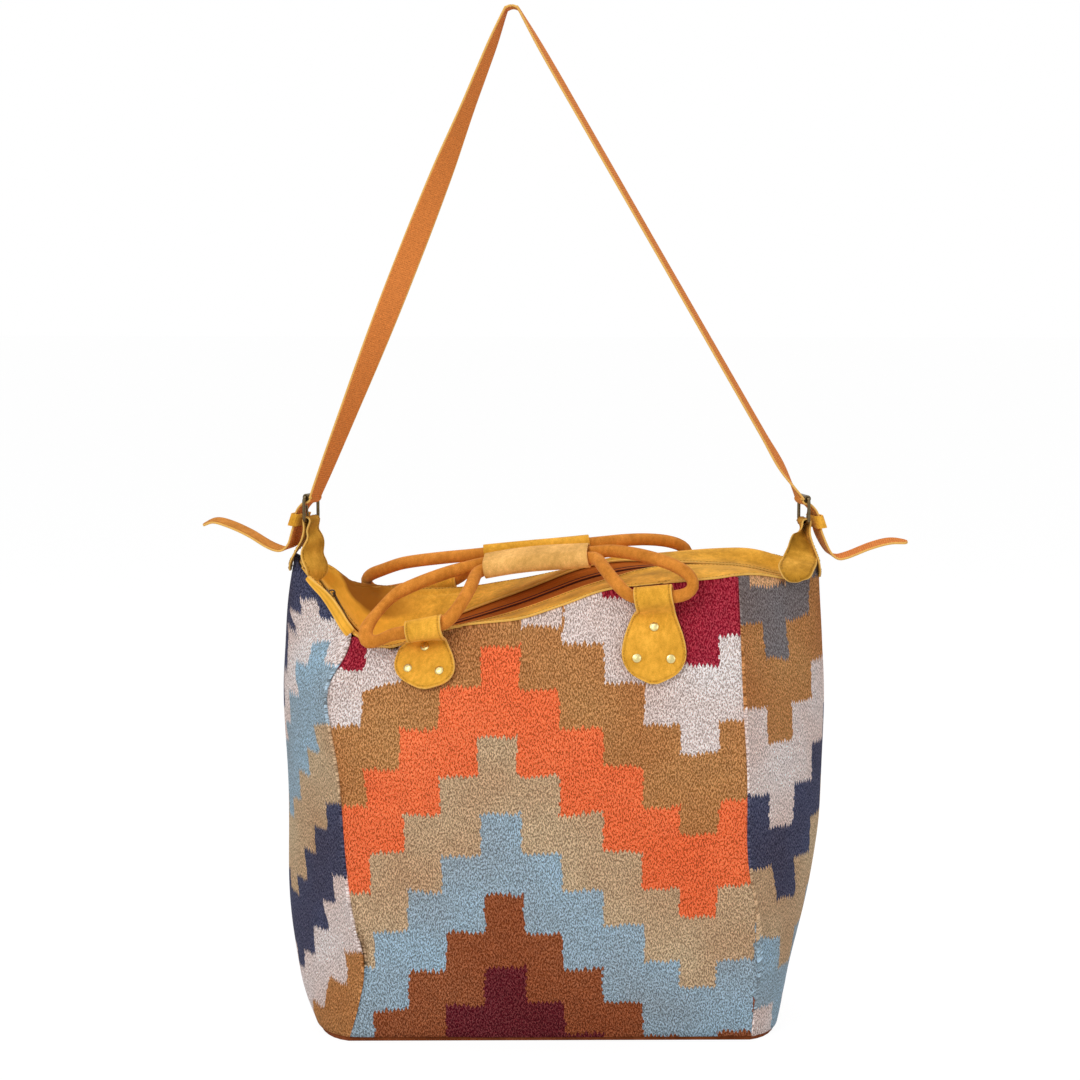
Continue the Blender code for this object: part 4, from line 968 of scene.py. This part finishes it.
def ear_stations(side):
    """Stations of an ear from its front lobe over the bar to its rear lobe."""
    bar, near, out = bar_frame(side)
    front_lobe, rear_lobe, front_across = EARS[side]
    turns = [math.pi * i / 8 for i in range(9)]
    arch = [bar + Vector((0.0, 0.0, BAR_ARCH * math.sin(a))) - out * (BAR_ARCH * math.cos(a))
            for a in turns]
    corners = [bar + Vector((side * a, b, c)) for a, b, c in front_lobe] + arch
    corners += [bar + Vector((side * a, b, c)) for a, b, c in rear_lobe]
    line = curve(corners, 64)
    runs = [0.0]
    for a, b in zip(line, line[1:]):
        runs.append(runs[-1] + (b - a).length)
    stations = []
    for i, centre in enumerate(line):
        front = i < len(line) // 2
        down = max(bar.z - centre.z, 0.0)
        short = EAR_ROUND - min(runs[i], runs[-1] - runs[i], EAR_ROUND)
        rounded = 2 * math.sqrt(max(EAR_ROUND ** 2 - short ** 2, 0.004 ** 2))
        low = clamp((down + (0.004 if front else -0.008)) / 0.024)
        across = near.lerp(front_across if front else REAR_ACROSS, ease(low))
        if front:
            wave = (0.0015 if side < 0 else 0.0007) * math.sin(down * 250.0)
            centre = centre + out * (wave * min(down / 0.012, 1.0))
        stations.append((centre, across, min(rounded, along_knots(EAR_WIDTHS, down))))
    return stations


def edge_lines(stations, lift):
    """The two edges of a strip on both of its faces, as lines to sew along."""
    lines = []
    for edge, face in ((-0.5, -1), (-0.5, 1), (0.5, -1), (0.5, 1)):
        line = []
        for (here, across, width), (onward, _, _) in zip(stations, stations[1:]):
            way = onward - here
            across = (across - way * (across.dot(way) / way.length_squared)).normalized()
            normal = way.normalized().cross(across) * face
            middle = (here + onward) / 2 + across * (edge * width) + normal * lift
            inward = across * -math.copysign(1, edge)
            line.append((middle, way.normalized(), inward, normal, way.length))
        lines.append(line)
    return lines


def strap_stations(side):
    """Stations of half the strap, from the tip of its tail round the roller to the crown."""
    bar, near, out = bar_frame(side)
    up = Vector((0.0, 0.0, 1.0))
    flat = Vector((0.0, -0.990, -0.14))
    sway = Vector((0.0, -1.0, 0.0))
    knots = [(bar + Vector((side * a, 0.0, b)), near.lerp(flat, clamp((a - 0.015) / 0.03)))
             for a, b in TAILS[side]]
    turns = [math.radians(a) for a in range(-70, -191, -20)]
    held = HELD + [(ROLLER_TURN * math.cos(a), ROLLER_UP + ROLLER_TURN * math.sin(a))
                   for a in turns]
    knots += [(bar + out * a + up * b, near) for a, b in held]
    start = knots[-1][0]
    crown = [Vector((CROWN_X + side * CROWN_FOLD * math.cos(a), 0.0,
                     CROWN_TOP + CROWN_FOLD * (math.sin(a) - 1)))
             for a in (math.radians(35 + 55 * i / 3) for i in range(4))]
    run = crown[0] - start
    level = Vector((-run.z, 0.0, run.x)).normalized() * -side
    for i in range(1, 16):
        turn = math.radians(along_knots(LEG_TURNS[side], i / 16))
        across = level * (-side * math.cos(turn)) + sway * math.sin(turn)
        knots.append((start + run * (i / 16), across))
    knots += [(place, sway) for place in crown]
    centres = curve([place for place, _ in knots], 260)
    ways = curve([way.normalized() for _, way in knots], 260)
    stations, gone = [], 0.0
    for i, centre in enumerate(centres):
        gone += (centre - centres[i - 1]).length if i else 0.0
        tip = 1 - min(gone / 0.030, 1.0)
        taper = 0.16 + 0.84 * math.sqrt(1 - tip * tip)
        stations.append((centre, ways[i], STRAP_WIDTH * taper))
    return stations


class OBJECT_OT_tote_strap(bpy.types.Operator):
    """Shoulder strap, its ears, keepers and roller buckles."""
    bl_idname = "tote.strap"
    bl_label = "Shoulder Strap"

    def execute(self, context):
        s = context.scene.tote_suede
        ochre = suede("ear suede", times(s.ochre, 0.76), 0.42, 1.25, trim=s.edge)
        plain = suede("keeper suede", s.ochre, 0.8, 1.14)
        thread = suede("ear thread", times(s.ochre, 0.4), 0.9, 1.1)
        brass = metal("antique brass", context.scene.tote_metal.buckle, 0.32)
        outer = suede("strap suede", s.strap, 0.85, 1.12, trim=s.edge)
        inner = ribbed("ribbed strap", s.ribbed, s.edge)
        for hand, side in HANDS.items():
            stations = ear_stations(side)
            ear = strip(hand + "_ear_suede", stations, EAR_THICKNESS, [ochre])
            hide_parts(hand + "_ear")
            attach(ear, "bag")
            sew(hand + "_ear_stitches", edge_lines(stations, 0.0010), ear, 0.0026, s.stitch,
                lambda normal: True, thread)
            dress(hand + "_keeper", plain)
            for part in ("frame", "roller", "prong"):
                dress(f"{hand}_buckle_{part}", brass)
            half = strip(hand + "_strap_half", strap_stations(side), STRAP_THICKNESS,
                         [outer, inner])
            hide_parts("shoulder_strap")
            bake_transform(half)
        return {"FINISHED"}


class OBJECT_OT_tote_stage(bpy.types.Operator):
    """Floor, lights and the camera at the photograph's angle."""
    bl_idname = "tote.stage"
    bl_label = "Stage"

    def execute(self, context):
        scene = context.scene
        bm = bmesh.new()
        bmesh.ops.create_grid(bm, x_segments=1, y_segments=1, size=30.0)
        mesh = bpy.data.meshes.new("floor")
        bm.to_mesh(mesh)
        bm.free()
        floor = bpy.data.objects.new("floor", mesh)
        scene.collection.objects.link(floor)
        paint = Paint("floor white", 0.9)
        paint.set(Base_Color=(0.90, 0.90, 0.90))
        # The floor looks white, and a part of its own shade stays, so that it shows a shadow
        glow = paint.add("ShaderNodeEmission", None, {"Color": (1.0, 1.0, 1.0), "Strength": 1.06})
        both = paint.add("ShaderNodeMixShader", None, {
            0: paint.seen() * 0.88, 1: Wire(paint, paint.shader.outputs[0]), 2: glow})
        paint.feed(paint.tree.nodes["Material Output"].inputs[0], both)
        mesh.materials.append(paint.material)

        world = bpy.data.worlds.new("studio")
        scene.world = world
        world.use_nodes = True
        sky = Nodes(world.node_tree)
        backdrop = sky.tree.nodes["Background"].inputs
        sky.feed(backdrop["Color"], (1.0, 1.0, 1.0))
        sky.feed(backdrop["Strength"], sky.seen().ranged(0.0, 1.0, 0.52, 1.0))
        target = Vector((0.0, 0.0, 0.25))
        for name, place, size, power in (("key", (-1.4, -2.4, 2.3), 1.8, 46.0),
                                         ("fill", (2.2, -1.6, 1.3), 1.6, 12.0),
                                         ("top", (0.2, 0.6, 2.6), 2.0, 20.0)):
            lamp = bpy.data.lights.new(name, "AREA")
            lamp.energy = power
            lamp.size = size
            thing = bpy.data.objects.new(name, lamp)
            thing.location = place
            thing.rotation_euler = (target - Vector(place)).to_track_quat("-Z", "Y").to_euler()
            scene.collection.objects.link(thing)

        turn, tilt = math.radians(VIEW_TURN), math.radians(VIEW_TILT)
        away = Vector((math.sin(turn), -math.cos(turn), 0.0))
        right = Vector((math.cos(turn), math.sin(turn), 0.0))
        ahead = -away * math.cos(tilt) - Vector((0.0, 0.0, math.sin(tilt)))
        lens = bpy.data.cameras.new("camera")
        lens.lens, lens.sensor_width = 72.0, 36.0
        camera = bpy.data.objects.new("camera", lens)
        camera.location = away * VIEW_AWAY - right * VIEW_LEFT + Vector((0.0, 0.0, VIEW_UP))
        camera.rotation_euler = ahead.to_track_quat("-Z", "Y").to_euler()
        scene.collection.objects.link(camera)
        scene.camera = camera
        scene.view_settings.view_transform = "Standard"
        return {"FINISHED"}


class VIEW3D_PT_tote(bpy.types.Panel):
    """Settings and building steps of the tote bag."""
    bl_label = "Tote Bag"
    bl_space_type = "VIEW_3D"
    bl_region_type = "UI"
    bl_category = "Tote Bag"

    def draw(self, context):
        for step in STEPS:
            self.layout.operator(step.bl_idname)
        for name in GROUPS:
            group = getattr(context.scene, name)
            for key in group.__annotations__:
                self.layout.prop(group, key)


GROUPS = {"tote_cloth": ClothSettings, "tote_suede": SuedeSettings, "tote_metal": MetalSettings}
STEPS = (OBJECT_OT_tote_stage, OBJECT_OT_tote_cloth, OBJECT_OT_tote_facings, OBJECT_OT_tote_zip,
         OBJECT_OT_tote_handles, OBJECT_OT_tote_tabs, OBJECT_OT_tote_strap)


def register():
    """Add the settings, the steps and the panel."""
    for item in (*GROUPS.values(), *STEPS, VIEW3D_PT_tote):
        bpy.utils.register_class(item)
    for name, group in GROUPS.items():
        setattr(bpy.types.Scene, name, bpy.props.PointerProperty(type=group))


def unregister():
    """Take them away again."""
    for name in GROUPS:
        delattr(bpy.types.Scene, name)
    for item in (VIEW3D_PT_tote, *reversed(STEPS), *GROUPS.values()):
        bpy.utils.unregister_class(item)


def main():
    """Register the add-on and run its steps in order."""
    register()
    for step in STEPS:
        area, name = step.bl_idname.split(".")
        getattr(getattr(bpy.ops, area), name)()


if __name__ == "__main__":
    main()
